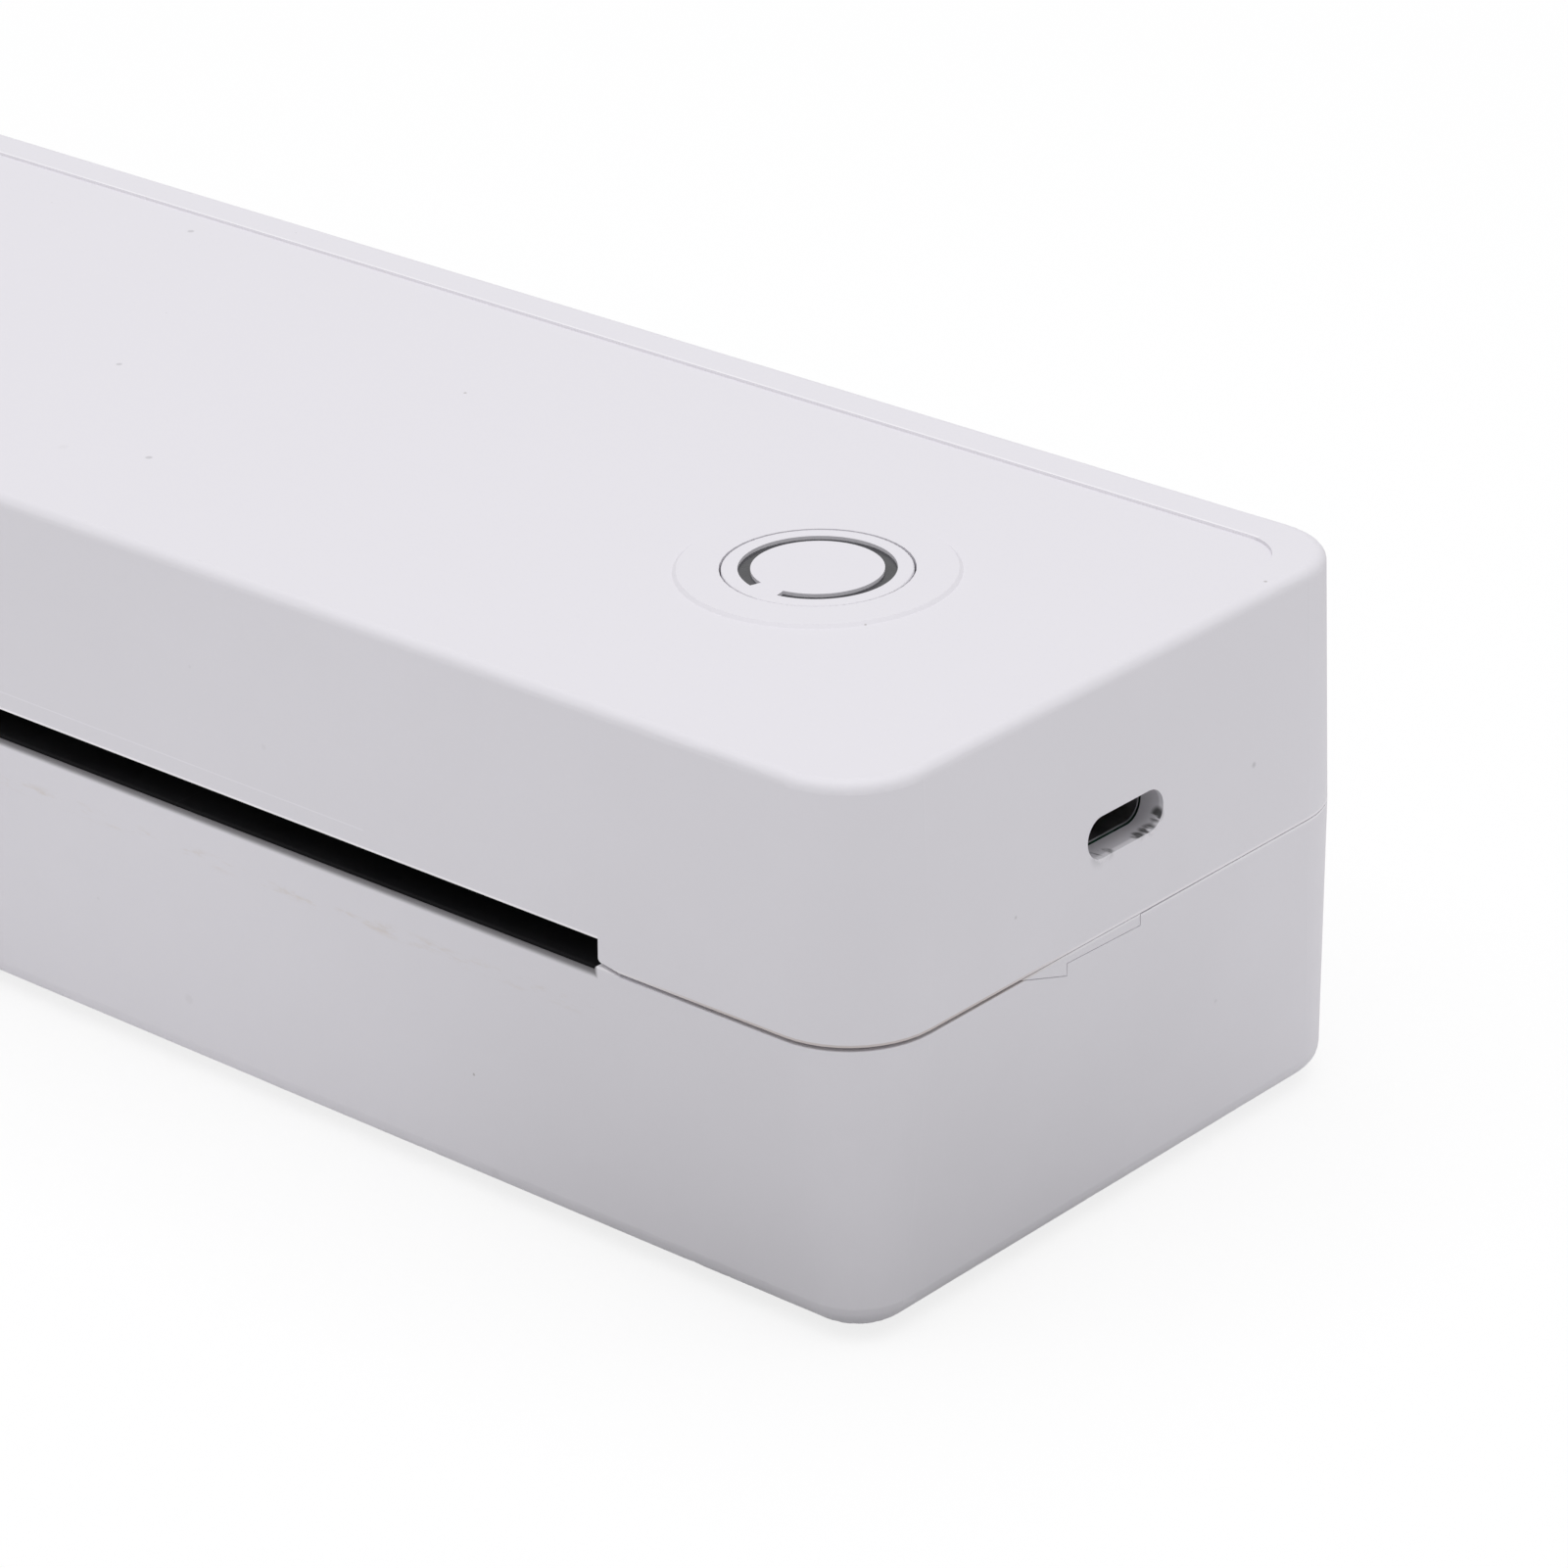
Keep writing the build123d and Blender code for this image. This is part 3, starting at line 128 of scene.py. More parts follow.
def mathNode(tree, operation, first, second=None, third=None, clamp=False):
    node = addNode(tree, "ShaderNodeMath", operation=operation, use_clamp=clamp)
    for socket, value in zip(node.inputs, (first, second, third)):
        if value is not None:
            feed(tree, socket, value)
    return node.outputs[0]


def noise(tree, vector, scale, detail=2.0, roughness=0.5, distortion=0.0):
    node = addNode(tree, "ShaderNodeTexNoise")
    feed(tree, node.inputs["Vector"], vector)
    node.inputs["Detail"].default_value = detail
    node.inputs["Roughness"].default_value = roughness
    node.inputs["Distortion"].default_value = distortion
    feed(tree, node.inputs["Scale"], scale)
    return node.outputs["Fac"]


def stretched(tree, vector, scale):
    node = addNode(tree, "ShaderNodeMapping")
    feed(tree, node.inputs["Vector"], vector)
    node.inputs["Scale"].default_value = scale
    return node.outputs["Vector"]


def remap(tree, value, low, high, toLow=0.0, toHigh=1.0):
    node = addNode(tree, "ShaderNodeMapRange", interpolation_type="SMOOTHSTEP")
    for socket, given in zip(node.inputs, (value, low, high, toLow, toHigh)):
        feed(tree, socket, given)
    return node.outputs["Result"]


def rgba(colour):
    return (colour[0], colour[1], colour[2], 1.0)


# the Mix node names its sockets alike for each data type, so the colour ones are picked by kind
def colourMix(tree, factor, first, second):
    node = addNode(tree, "ShaderNodeMix", data_type="RGBA", blend_type="MIX")
    colours = [socket for socket in node.inputs if socket.type == "RGBA"]
    feed(tree, node.inputs[0], factor)
    feed(tree, colours[0], first if isinstance(first, bpy.types.NodeSocket) else rgba(first))
    feed(tree, colours[1], second if isinstance(second, bpy.types.NodeSocket) else rgba(second))
    return [socket for socket in node.outputs if socket.type == "RGBA"][0]


def tint(tree, colour, shade, mask, strength):
    # lays the shade over the colour where the mask is 1, at the given strength
    return colourMix(tree, mathNode(tree, "MULTIPLY", mask, strength), colour, shade)


def stripes(tree, value, pitch, risingEdge, fallingEdge):
    # 1 on the middle part of each pitch and 0 on the rest; the edges are shares of the pitch
    comb = mathNode(tree, "FRACT", mathNode(tree, "MULTIPLY", value, 1.0 / pitch))
    rising = remap(tree, comb, *risingEdge)
    return mathNode(tree, "MULTIPLY", rising, remap(tree, comb, *fallingEdge, 1.0, 0.0))


def splitPlace(tree, place):
    split = addNode(tree, "ShaderNodeSeparateXYZ")
    tree.links.new(place, split.inputs["Vector"])
    return split.outputs


vectorKind, numberKind = "NodeSocketVector", "NodeSocketFloat"


def newGroup(name, inputs, outputs):
    tree = bpy.data.node_groups.new(name, "ShaderNodeTree")
    for label, kind, default in inputs:
        socket = tree.interface.new_socket(name=label, in_out="INPUT", socket_type=kind)
        if default is not None:
            socket.default_value = default
    for label, kind in outputs:
        tree.interface.new_socket(name=label, in_out="OUTPUT", socket_type=kind)
    start = tree.nodes.new("NodeGroupInput")
    end = tree.nodes.new("NodeGroupOutput")
    return tree, start.outputs, end.inputs


def useGroup(tree, group, **values):
    node = addNode(tree, "ShaderNodeGroup", node_tree=group)
    for label, value in values.items():
        feed(tree, node.inputs[label], value)
    return node.outputs


def makeGrainGroup():
    # moulded grain: two sizes of noise for the height, and slow cloudy noise for the tone
    tree, given, out = newGroup(
        "mouldedGrain",
        [("Vector", vectorKind, None), ("Scale", numberKind, 3000.0), ("Cloud", numberKind, 40.0)],
        [("Height", numberKind), ("Tone", numberKind)],
    )
    coarse = noise(tree, given["Vector"], given["Scale"], 3.0, 0.55)
    fineScale = mathNode(tree, "MULTIPLY", given["Scale"], 2.7)
    fine = noise(tree, given["Vector"], fineScale, 2.0, 0.5)
    tree.links.new(mathNode(tree, "MULTIPLY_ADD", fine, 0.4, coarse), out["Height"])
    cloud = noise(tree, given["Vector"], given["Cloud"], 4.0, 0.6)
    tree.links.new(remap(tree, cloud, 0.3, 0.7), out["Tone"])
    return tree


def makeSpeckGroup():
    # round specks: cells whose random value is high show a dot at their point
    tree, given, out = newGroup(
        "specks",
        [("Vector", vectorKind, None), ("Scale", numberKind, 200.0),
         ("Size", numberKind, 0.05), ("Rarity", numberKind, 0.9)],
        [("Mask", numberKind)],
    )
    cells = addNode(tree, "ShaderNodeTexVoronoi")
    tree.links.new(given["Vector"], cells.inputs["Vector"])
    tree.links.new(given["Scale"], cells.inputs["Scale"])
    split = addNode(tree, "ShaderNodeSeparateColor")
    tree.links.new(cells.outputs["Color"], split.inputs["Color"])
    chosen = mathNode(tree, "GREATER_THAN", split.outputs["Red"], given["Rarity"])
    size = mathNode(tree, "MULTIPLY", given["Size"], mathNode(tree, "ADD", split.outputs["Green"], 0.4))
    ratio = mathNode(tree, "DIVIDE", cells.outputs["Distance"], size)
    dot = remap(tree, ratio, 0.6, 1.1, 1.0, 0.0)
    tree.links.new(mathNode(tree, "MULTIPLY", chosen, dot), out["Mask"])
    return tree


def makeBoxGroup():
    # box mask: 1 inside a box, falling to 0 at its faces over a soft width
    tree, given, out = newGroup(
        "boxMask",
        [("Vector", vectorKind, None), ("Low", vectorKind, None),
         ("High", vectorKind, None), ("Soft", numberKind, 0.001)],
        [("Mask", numberKind)],
    )
    sides = []
    for first, second in (("Vector", "Low"), ("High", "Vector")):
        gap = addNode(tree, "ShaderNodeVectorMath", operation="SUBTRACT")
        tree.links.new(given[first], gap.inputs[0])
        tree.links.new(given[second], gap.inputs[1])
        split = addNode(tree, "ShaderNodeSeparateXYZ")
        tree.links.new(gap.outputs["Vector"], split.inputs["Vector"])
        sides.extend(split.outputs)
    nearest = sides[0]
    for side in sides[1:]:
        nearest = mathNode(tree, "MINIMUM", nearest, side)
    ratio = mathNode(tree, "DIVIDE", nearest, given["Soft"])
    tree.links.new(remap(tree, ratio, 0.0, 1.0), out["Mask"])
    return tree


def makeBrushGroup():
    # brushed metal: noise drawn out along one direction
    tree, given, out = newGroup(
        "brushed",
        [("Vector", vectorKind, None), ("Scale", numberKind, 1.0)],
        [("Height", numberKind), ("Tone", numberKind)],
    )
    lines = noise(tree, given["Vector"], given["Scale"], 5.0, 0.65)
    tree.links.new(lines, out["Height"])
    slow = noise(tree, given["Vector"], mathNode(tree, "MULTIPLY", given["Scale"], 0.13), 3.0, 0.5)
    tree.links.new(remap(tree, slow, 0.3, 0.7), out["Tone"])
    return tree


def makeSpotGroup():
    # one spot: 1 within a radius of its middle, falling to 0 outside it
    tree, given, out = newGroup(
        "spot",
        [("Vector", vectorKind, None), ("Middle", vectorKind, None), ("Radius", numberKind, 0.0003)],
        [("Mask", numberKind)],
    )
    gap = addNode(tree, "ShaderNodeVectorMath", operation="DISTANCE")
    tree.links.new(given["Vector"], gap.inputs[0])
    tree.links.new(given["Middle"], gap.inputs[1])
    ratio = mathNode(tree, "DIVIDE", gap.outputs["Value"], given["Radius"])
    tree.links.new(remap(tree, ratio, 0.55, 1.15, 1.0, 0.0), out["Mask"])
    return tree


grainGroup = makeGrainGroup()
spotGroup = makeSpotGroup()
speckGroup = makeSpeckGroup()
boxGroup = makeBoxGroup()
brushGroup = makeBrushGroup()
print("effect groups built")


def newMaterial(name):
    material = bpy.data.materials.new(name)
    material.use_nodes = True
    tree = material.node_tree
    surface = next(node for node in tree.nodes if node.type == "BSDF_PRINCIPLED")
    place = addNode(tree, "ShaderNodeTexCoord").outputs["Object"]
    return material, tree, surface, place


def addBump(tree, surface, height, strength, distance):
    bump = addNode(tree, "ShaderNodeBump")
    bump.inputs["Strength"].default_value = strength
    bump.inputs["Distance"].default_value = distance
    tree.links.new(height, bump.inputs["Height"])
    tree.links.new(bump.outputs["Normal"], surface.inputs["Normal"])


def setLook(tree, surface, colour, value, span, roughness):
    # the colour, and a roughness that follows a value over its span
    tree.links.new(colour, surface.inputs["Base Color"])
    tree.links.new(remap(tree, value, *span, *roughness), surface.inputs["Roughness"])


def boxMask(tree, place, low, high, soft):
    return useGroup(tree, boxGroup, Vector=place, Low=low, High=high, Soft=soft)["Mask"]


def speckMask(tree, vector, specks):
    return useGroup(tree, speckGroup, Vector=vector, **specks)["Mask"]


def spotMask(tree, place, middle, radius):
    return useGroup(tree, spotGroup, Vector=place, Middle=middle, Radius=radius)["Mask"]


def patches(tree, place, scale, detail, roughness, low, high):
    # noise drawn out along the front and cut to patches
    drawn = stretched(tree, place, (0.25, 1.0, 1.0))
    return remap(tree, noise(tree, drawn, scale, detail, roughness), low, high)


# a share says how strongly an effect shows, from 0 to 1
housingLook = {
    "colour": (0.800, 0.782, 0.826),
    "shade": (0.778, 0.760, 0.800),      # cloudy variation of the moulding
    "cloudScale": 34.0,
    "cloudShare": 0.55,
    "roughness": (0.50, 0.60),
    "grainScale": 2600.0,
    "grainDepth": 0.000010,
    "grainStrength": 0.6,
    "grainShare": 0.22,
    "speck": (0.30, 0.27, 0.25),         # dust caught in the grain
    "dust": {"Scale": 210.0, "Size": 0.030, "Rarity": 0.93},
    "dustShare": 0.55,
    "faintDust": {"Scale": 150.0, "Size": 0.085, "Rarity": 0.80},
    "faintShare": 0.07,
    "seamHalf": 0.30 * mm,
    "seamSoft": 0.12 * mm,
    "seamShare": 0.6,
    # painted light, laid on the seam band and on the top field's rear wall
    "paintedLight": (0.97, 0.95, 0.98),
    "grime": (0.46, 0.38, 0.34),
    "grimeReach": 24.0 * mm,
}


def housingBase(name, look, seed):
    # satin moulded plastic: fine grain, cloudy tone, a few dust specks, and a seam band lightened with
    # painted light
    material, tree, surface, place = newMaterial(name)
    # each piece takes its noise from another place
    moved = addNode(tree, "ShaderNodeMapping")
    moved.inputs["Location"].default_value = (seed, seed * 0.7, seed * 1.3)
    tree.links.new(place, moved.inputs["Vector"])
    vector = moved.outputs["Vector"]
    grain = useGroup(tree, grainGroup, Vector=vector, Scale=look["grainScale"], Cloud=look["cloudScale"])
    colour = tint(tree, look["colour"], look["shade"], grain["Tone"], look["cloudShare"])
    fine = remap(tree, grain["Height"], 0.45, 0.95)
    colour = tint(tree, colour, look["shade"], fine, look["grainShare"])
    dust = speckMask(tree, vector, look["dust"])
    faint = speckMask(tree, vector, look["faintDust"])
    colour = tint(tree, colour, look["speck"], faint, look["faintShare"])
    colour = tint(tree, colour, look["speck"], dust, look["dustShare"])
    # painted light lightens the band where the edges meet at the seam, against the gap's shade; near the
    # front corner the band holds some grime
    seamLow, seamHigh = (-1.0, -1.0, seamZ - look["seamHalf"]), (1.0, 1.0, seamZ + look["seamHalf"])
    seam = boxMask(tree, place, seamLow, seamHigh, look["seamSoft"])
    colour = tint(tree, colour, look["paintedLight"], seam, look["seamShare"])
    corner = spotMask(tree, place, (rightX, frontY, seamZ), look["grimeReach"])
    colour = tint(tree, colour, look["grime"], mathNode(tree, "MULTIPLY", seam, corner), look["seamShare"])
    rough = remap(tree, grain["Tone"], 0.0, 1.0, *look["roughness"])
    tree.links.new(rough, surface.inputs["Roughness"])
    addBump(tree, surface, grain["Height"], look["grainStrength"], look["grainDepth"])
    return material, tree, surface, place, colour


# smudges and pits are two places along their face and a radius, in millimetres
coverMarks = {
    "lineHeight": 3.85 * mm,       # painted highlight: a faint bright line above the slot
    "lineHalf": 0.09 * mm,
    "lineEnd": 51.0 * mm,          # from the right face
    "lineHighlightGain": 1.10,
    "lineHighlightShare": 0.8,
    "edgeSoft": 0.08 * mm,
    "lipHeight": 0.24 * mm,        # painted highlight along the edge above the slot
    "lipRise": 2.26 * mm,
    "lipPaintedHighlight": (0.99, 0.97, 1.0),
    "lipShare": 0.9,
    "fieldRim": 4.7 * mm,          # the top field's rear edge, from the rear face
    "fieldEnd": 7.5 * mm,
    "fieldDepth": 0.25 * mm,
    "rimSpan": (-0.1 * mm, 0.25 * mm),
    "rimDrop": 0.27 * mm,
    "rimShare": 0.55,
    "tunnelHalf": (4.9 * mm, 2.0 * mm),
    "tunnelStart": 0.50 * mm,      # from the right face
    "tunnelSoft": 0.25 * mm,
    "tunnelPaintedShade": (0.22, 0.21, 0.23),
    "tunnelShare": 0.35,
    "smudge": (0.035, 0.035, 0.035),
    "smudgeShare": 0.9,
    "smudgeNoise": (1100.0, 3.0, 0.6, 0.40, 0.52),
    "smudgeDepth": 0.60 * mm,
    "smudgeEdge": 0.12 * mm,
    "smudgeSoft": 0.15 * mm,
    "smudges": [
        (-3.2, -1.40, 1.25), (-2.0, -1.70, 0.80), (1.9, -1.70, 0.65), (3.1, -1.55, 0.80), (4.2, -0.80, 0.70),
    ],
    "pit": (0.38, 0.37, 0.39),
    "pitShare": 0.42,
    "topPits": [
        (10.6, 21.5, 0.34), (29.4, -5.2, 0.30), (46.6, -18.2, 0.34), (-61.3, 6.2, 0.28), (-94.0, -12.5, 0.32),
    ],
    "frontPits": [(65.1, 37.3, 0.34), (92.3, 43.0, 0.26), (97.5, 40.3, 0.30), (-40.2, 35.8, 0.28)],
    "sidePits": [(8.0, 42.8, 0.30), (14.9, 32.2, 0.34), (-14.6, 30.3, 0.22)],
}


def frontSpots(spots):
    return [((x * mm, frontY, z * mm), radius * mm) for x, z, radius in spots]


def sideSpots(spots):
    return [((rightX, y * mm, z * mm), radius * mm) for y, z, radius in spots]


def addSpots(tree, place, colour, shade, spots, strength):
    for middle, radius in spots:
        colour = tint(tree, colour, shade, spotMask(tree, place, middle, radius), strength)
    return colour


def makeCoverMaterial(look, marks):
    material, tree, surface, place, colour = housingBase("coverPlastic", look, 0.0)
    # painted highlight: a faint bright line above the slot
    lineZ = seamZ + marks["lineHeight"]
    line = boxMask(
        tree, place,
        (-rightX, frontY - mm, lineZ - marks["lineHalf"]),
        (rightX - marks["lineEnd"], frontY + 2 * mm, lineZ + marks["lineHalf"]), marks["lineHalf"],
    )
    brighter = tuple(min(1.0, part * marks["lineHighlightGain"]) for part in look["colour"])
    colour = tint(tree, colour, brighter, line, marks["lineHighlightShare"])
    fieldZ = coverHigh[2] - marks["fieldDepth"]
    pits = [((x * mm, y * mm, fieldZ), radius * mm) for x, y, radius in marks["topPits"]]
    pits += sideSpots(marks["sidePits"]) + frontSpots(marks["frontPits"])
    colour = addSpots(tree, place, colour, marks["pit"], pits, marks["pitShare"])
    # painted highlight along the slot's upper edge
    lipZ = seamZ + marks["lipRise"]
    lip = boxMask(
        tree, place, (-slotHalf, frontY - mm, lipZ - mm),
        (slotHalf, frontY + 0.5 * mm, lipZ + marks["lipHeight"]), marks["edgeSoft"],
    )
    colour = tint(tree, colour, marks["lipPaintedHighlight"], lip, marks["lipShare"])
    # painted highlight: the recessed field's rear wall is lightened
    rimX, rimY = rightX - marks["fieldEnd"], rearY - marks["fieldRim"]
    rimLow = (-rimX, rimY + marks["rimSpan"][0], coverHigh[2] - marks["rimDrop"])
    rimHigh = (rimX, rimY + marks["rimSpan"][1], coverHigh[2] + mm)
    rim = boxMask(tree, place, rimLow, rimHigh, marks["edgeSoft"])
    colour = tint(tree, colour, look["paintedLight"], rim, marks["rimShare"])
    # painted shade darkens the USB opening's walls; dark smudges sit near the mouth's lower edge
    halfAcross, halfUp = marks["tunnelHalf"]
    tunnelLow = (socketLow[0], socketY - halfAcross, usbZ - halfUp)
    tunnelHigh = (rightX - marks["tunnelStart"], socketY + halfAcross, usbZ + halfUp)
    tunnel = boxMask(tree, place, tunnelLow, tunnelHigh, marks["tunnelSoft"])
    colour = tint(tree, colour, marks["tunnelPaintedShade"], tunnel, marks["tunnelShare"])
    ragged = patches(tree, place, *marks["smudgeNoise"])
    insideHigh = (rightX - marks["smudgeEdge"], 1.0, 1.0)
    inside = boxMask(tree, place, (0.0, -1.0, 0.0), insideHigh, marks["smudgeSoft"])
    ragged = mathNode(tree, "MULTIPLY", ragged, inside)
    smudgeX = rightX - marks["smudgeDepth"]
    smudges = [((smudgeX, socketY + across * mm, usbZ + up * mm), radius * mm)
               for across, up, radius in marks["smudges"]]
    strength = mathNode(tree, "MULTIPLY", ragged, marks["smudgeShare"])
    colour = addSpots(tree, place, colour, marks["smudge"], smudges, strength)
    tree.links.new(colour, surface.inputs["Base Color"])
    return material


baseMarks = {
    "scuffPlace": 4.2 * mm,        # middle of the dirt trace, below the seam
    "scuffHalf": 0.9 * mm,
    "scuffEnd": 26.0 * mm,         # from the right face
    "scuff": (0.58, 0.46, 0.33),
    "scuffShare": 0.30,
    "scuffNoise": (900.0, 4.0, 0.7, 0.48, 0.70),
    "lipStart": 1.20 * mm,         # the lip's bend starts this far below the seam
    "lipSoft": 0.42 * mm,
    "lipPaintedShade": (0.11, 0.105, 0.11),
    "lipShare": 0.85,
    "pit": (0.38, 0.37, 0.39),
    "pitShare": 0.42,
    "frontPits": [(101.3, 14.5, 0.24), (52.4, 12.9, 0.34), (55.2, 9.3, 0.32), (-22.4, 9.1, 0.26)],
    "sidePits": [(10.6, 13.2, 0.36), (-21.9, 6.3, 0.22)],
}


def makeBaseMaterial(look, marks):
    material, tree, surface, place, colour = housingBase("basePlastic", look, 0.31)
    scuffZ = seamZ - marks["scuffPlace"]
    band = boxMask(
        tree, place, (-rightX, frontY - mm, scuffZ - marks["scuffHalf"]),
        (rightX - marks["scuffEnd"], frontY + 2 * mm, scuffZ + marks["scuffHalf"]), marks["scuffHalf"],
    )
    broken = patches(tree, place, *marks["scuffNoise"])
    worn = mathNode(tree, "MULTIPLY", band, broken)
    colour = tint(tree, colour, marks["scuff"], worn, marks["scuffShare"])
    pits = frontSpots(marks["frontPits"]) + sideSpots(marks["sidePits"])
    colour = addSpots(tree, place, colour, marks["pit"], pits, marks["pitShare"])
    # painted shade darkens the slot's lower lip from its bend to its top
    lip = boxMask(
        tree, place, (-slotHalf, frontY - mm, seamZ - marks["lipStart"]),
        (slotHalf, frontY + 3 * mm, seamZ + 2 * mm), marks["lipSoft"],
    )
    colour = tint(tree, colour, marks["lipPaintedShade"], lip, marks["lipShare"])
    tree.links.new(colour, surface.inputs["Base Color"])
    return material


def makePlainHousing(name, look, seed):
    material, tree, surface, place, colour = housingBase(name, look, seed)
    tree.links.new(colour, surface.inputs["Base Color"])
    return material


darkLook = {
    "colour": (0.006, 0.006, 0.007),
    "shade": (0.010, 0.010, 0.011),
    "grainScale": 1900.0,
    "cloudScale": 60.0,
    "worn": (0.034, 0.035, 0.038),       # the plastic's own duller grey behind the paper's mouth; in front of it the colour stays near black as painted shade
    "mouthShadeReach": (-17.0 * mm, -6.0 * mm),
    "scuff": (0.045, 0.045, 0.048),
    "scuffShare": 0.20,
    "gloss": 0.12,
}


def makeDarkPlastic(name, look, roughness, grainDepth):
    # black moulded plastic with grain and light rub marks along the paper's way
    material, tree, surface, place = newMaterial(name)
    grain = useGroup(tree, grainGroup, Vector=place, Scale=look["grainScale"], Cloud=look["cloudScale"])
    colour = colourMix(tree, grain["Tone"], look["colour"], look["shade"])
    # painted shade: near black at the paper's mouth, turning to the duller grey behind it
    behind = remap(tree, splitPlace(tree, place)["Y"], *look["mouthShadeReach"])
    cloudy = mathNode(tree, "MULTIPLY", behind, remap(tree, grain["Tone"], 0.0, 1.0, 0.72, 1.0))
    colour = colourMix(tree, cloudy, colour, look["worn"])
    rubs = noise(tree, stretched(tree, place, (1.0, 0.05, 1.0)), 1400.0, 4.0, 0.7)
    colour = tint(tree, colour, look["scuff"], remap(tree, rubs, 0.62, 0.80), look["scuffShare"])
    setLook(tree, surface, colour, grain["Tone"], (0.0, 1.0), (roughness, roughness + 0.12))
    surface.inputs["Specular IOR Level"].default_value = look["gloss"]
    addBump(tree, surface, grain["Height"], 0.7, grainDepth)
    return material


acetalLook = {
    "colour": (0.78, 0.76, 0.68),
    "shade": (0.70, 0.67, 0.57),
    "grease": (0.40, 0.34, 0.22),
    "greaseShare": 0.35,
    "roughness": (0.42, 0.16),           # dry, and greased
    "glow": 0.15,
    "glowReach": (0.0015, 0.0013, 0.001),
}


def makeAcetal(name, look):
    # natural gear plastic, waxy, with patches of grease
    material, tree, surface, place = newMaterial(name)
    grain = useGroup(tree, grainGroup, Vector=place, Scale=2200.0, Cloud=260.0)
    colour = colourMix(tree, grain["Tone"], look["colour"], look["shade"])
    grease = remap(tree, noise(tree, place, 420.0, 3.0, 0.6), 0.58, 0.72)
    colour = tint(tree, colour, look["grease"], grease, look["greaseShare"])
    setLook(tree, surface, colour, grease, (0.0, 1.0), look["roughness"])
    surface.inputs["Subsurface Weight"].default_value = look["glow"]
    surface.inputs["Subsurface Radius"].default_value = look["glowReach"]
    addBump(tree, surface, grain["Height"], 0.4, 0.000008)
    return material


bloomLook = {
    "colour": (0.42, 0.42, 0.43),
    "share": 0.35,
    "specks": {"Scale": 900.0, "Size": 0.10, "Rarity": 0.86},
}


def makeRubber(name, colour, shade, roughness, grainScale, bloom):
    # rubber: matte with ground grain and pale bloom
    material, tree, surface, place = newMaterial(name)
    grain = useGroup(tree, grainGroup, Vector=place, Scale=grainScale, Cloud=90.0)
    tone = colourMix(tree, grain["Tone"], colour, shade)
    tone = tint(tree, tone, bloom["colour"], speckMask(tree, place, bloom["specks"]), bloom["share"])
    setLook(tree, surface, tone, grain["Tone"], (0.0, 1.0), (roughness, roughness + 0.15))
    addBump(tree, surface, grain["Height"], 0.9, 0.00002)
    return material


ringLook = {
    "colour": (0.030, 0.030, 0.035),
    "shade": (0.050, 0.050, 0.057),
    "roughness": (0.20, 0.34),
    "coat": 0.3,
}


def makeSmokedRing(name, look):
    # smoked light guide: glossy, nearly black, a little hazed
    material, tree, surface, place = newMaterial(name)
    haze = noise(tree, place, 700.0, 3.0, 0.6)
    colour = colourMix(tree, remap(tree, haze, 0.35, 0.7), look["colour"], look["shade"])
    setLook(tree, surface, colour, haze, (0.3, 0.7), look["roughness"])
    surface.inputs["Coat Weight"].default_value = look["coat"]
    addBump(tree, surface, haze, 0.3, 0.00001)
    return material


def makeMetal(name, colour, shade, stretch, scale, roughness, depth):
    # metal with drawn or ground lines along one axis
    material, tree, surface, place = newMaterial(name)
    lines = useGroup(tree, brushGroup, Vector=stretched(tree, place, stretch), Scale=scale)
    tone = colourMix(tree, lines["Tone"], colour, shade)
    streak = remap(tree, lines["Height"], 0.35, 0.70)
    tone = tint(tree, tone, shade, streak, 0.25)
    setLook(tree, surface, tone, streak, (0.0, 1.0), (roughness, roughness + 0.14))
    surface.inputs["Metallic"].default_value = 1.0
    addBump(tree, surface, lines["Height"], 0.5, depth)
    return material


ceramicLook = {
    "alumina": (0.60, 0.62, 0.58),
    "shade": (0.53, 0.56, 0.53),
    "roughness": (0.10, 0.22),
    "gold": (0.47, 0.37, 0.20),
    "goldShare": 0.75,
    "pitch": 0.5 * mm,              # between the fine conductors
    "conductor": ((0.30, 0.42), (0.88, 0.98)),
    "commonGap": 1.1 * mm,          # from the heating line to the plain band before it
    "heater": (0.07, 0.045, 0.03),
    "heaterHalf": 0.28 * mm,
    "heaterSoft": 0.08 * mm,
}


def makeCeramic(name, look):
    # glazed strip: pale alumina, a plain gold band, the dark heating line and fine conductors behind it
    material, tree, surface, place = newMaterial(name)
    haze = noise(tree, place, 300.0, 3.0, 0.5)
    colour = colourMix(tree, remap(tree, haze, 0.3, 0.7), look["alumina"], look["shade"])
    axes = splitPlace(tree, place)
    fine = stripes(tree, axes["X"], look["pitch"], *look["conductor"])
    behind = remap(tree, axes["Y"], heatLineY - 0.05 * mm, heatLineY + 0.05 * mm)
    commonY = heatLineY - look["commonGap"]
    common = remap(tree, axes["Y"], commonY, commonY + 0.1 * mm, 1.0, 0.0)
    tracks = mathNode(tree, "MAXIMUM", mathNode(tree, "MULTIPLY", fine, behind), common)
    colour = tint(tree, colour, look["gold"], tracks, look["goldShare"])
    line = boxMask(
        tree, place, (-1.0, heatLineY - look["heaterHalf"], ceramicLow[2] - mm),
        (1.0, heatLineY + look["heaterHalf"], ceramicLow[2] + 0.4 * mm), look["heaterSoft"],
    )
    colour = colourMix(tree, line, colour, look["heater"])
    setLook(tree, surface, colour, haze, (0.2, 0.8), look["roughness"])
    addBump(tree, surface, tracks, 0.2, 0.00001)
    return material


boardLook = {
    "mask": (0.010, 0.085, 0.040),
    "track": (0.016, 0.130, 0.060),
    "trackScale": 260.0,
    "pad": (0.66, 0.66, 0.64),
    "pads": {"Scale": 420.0, "Size": 0.22, "Rarity": 0.72},
    "roughness": (0.25, 0.34),
}


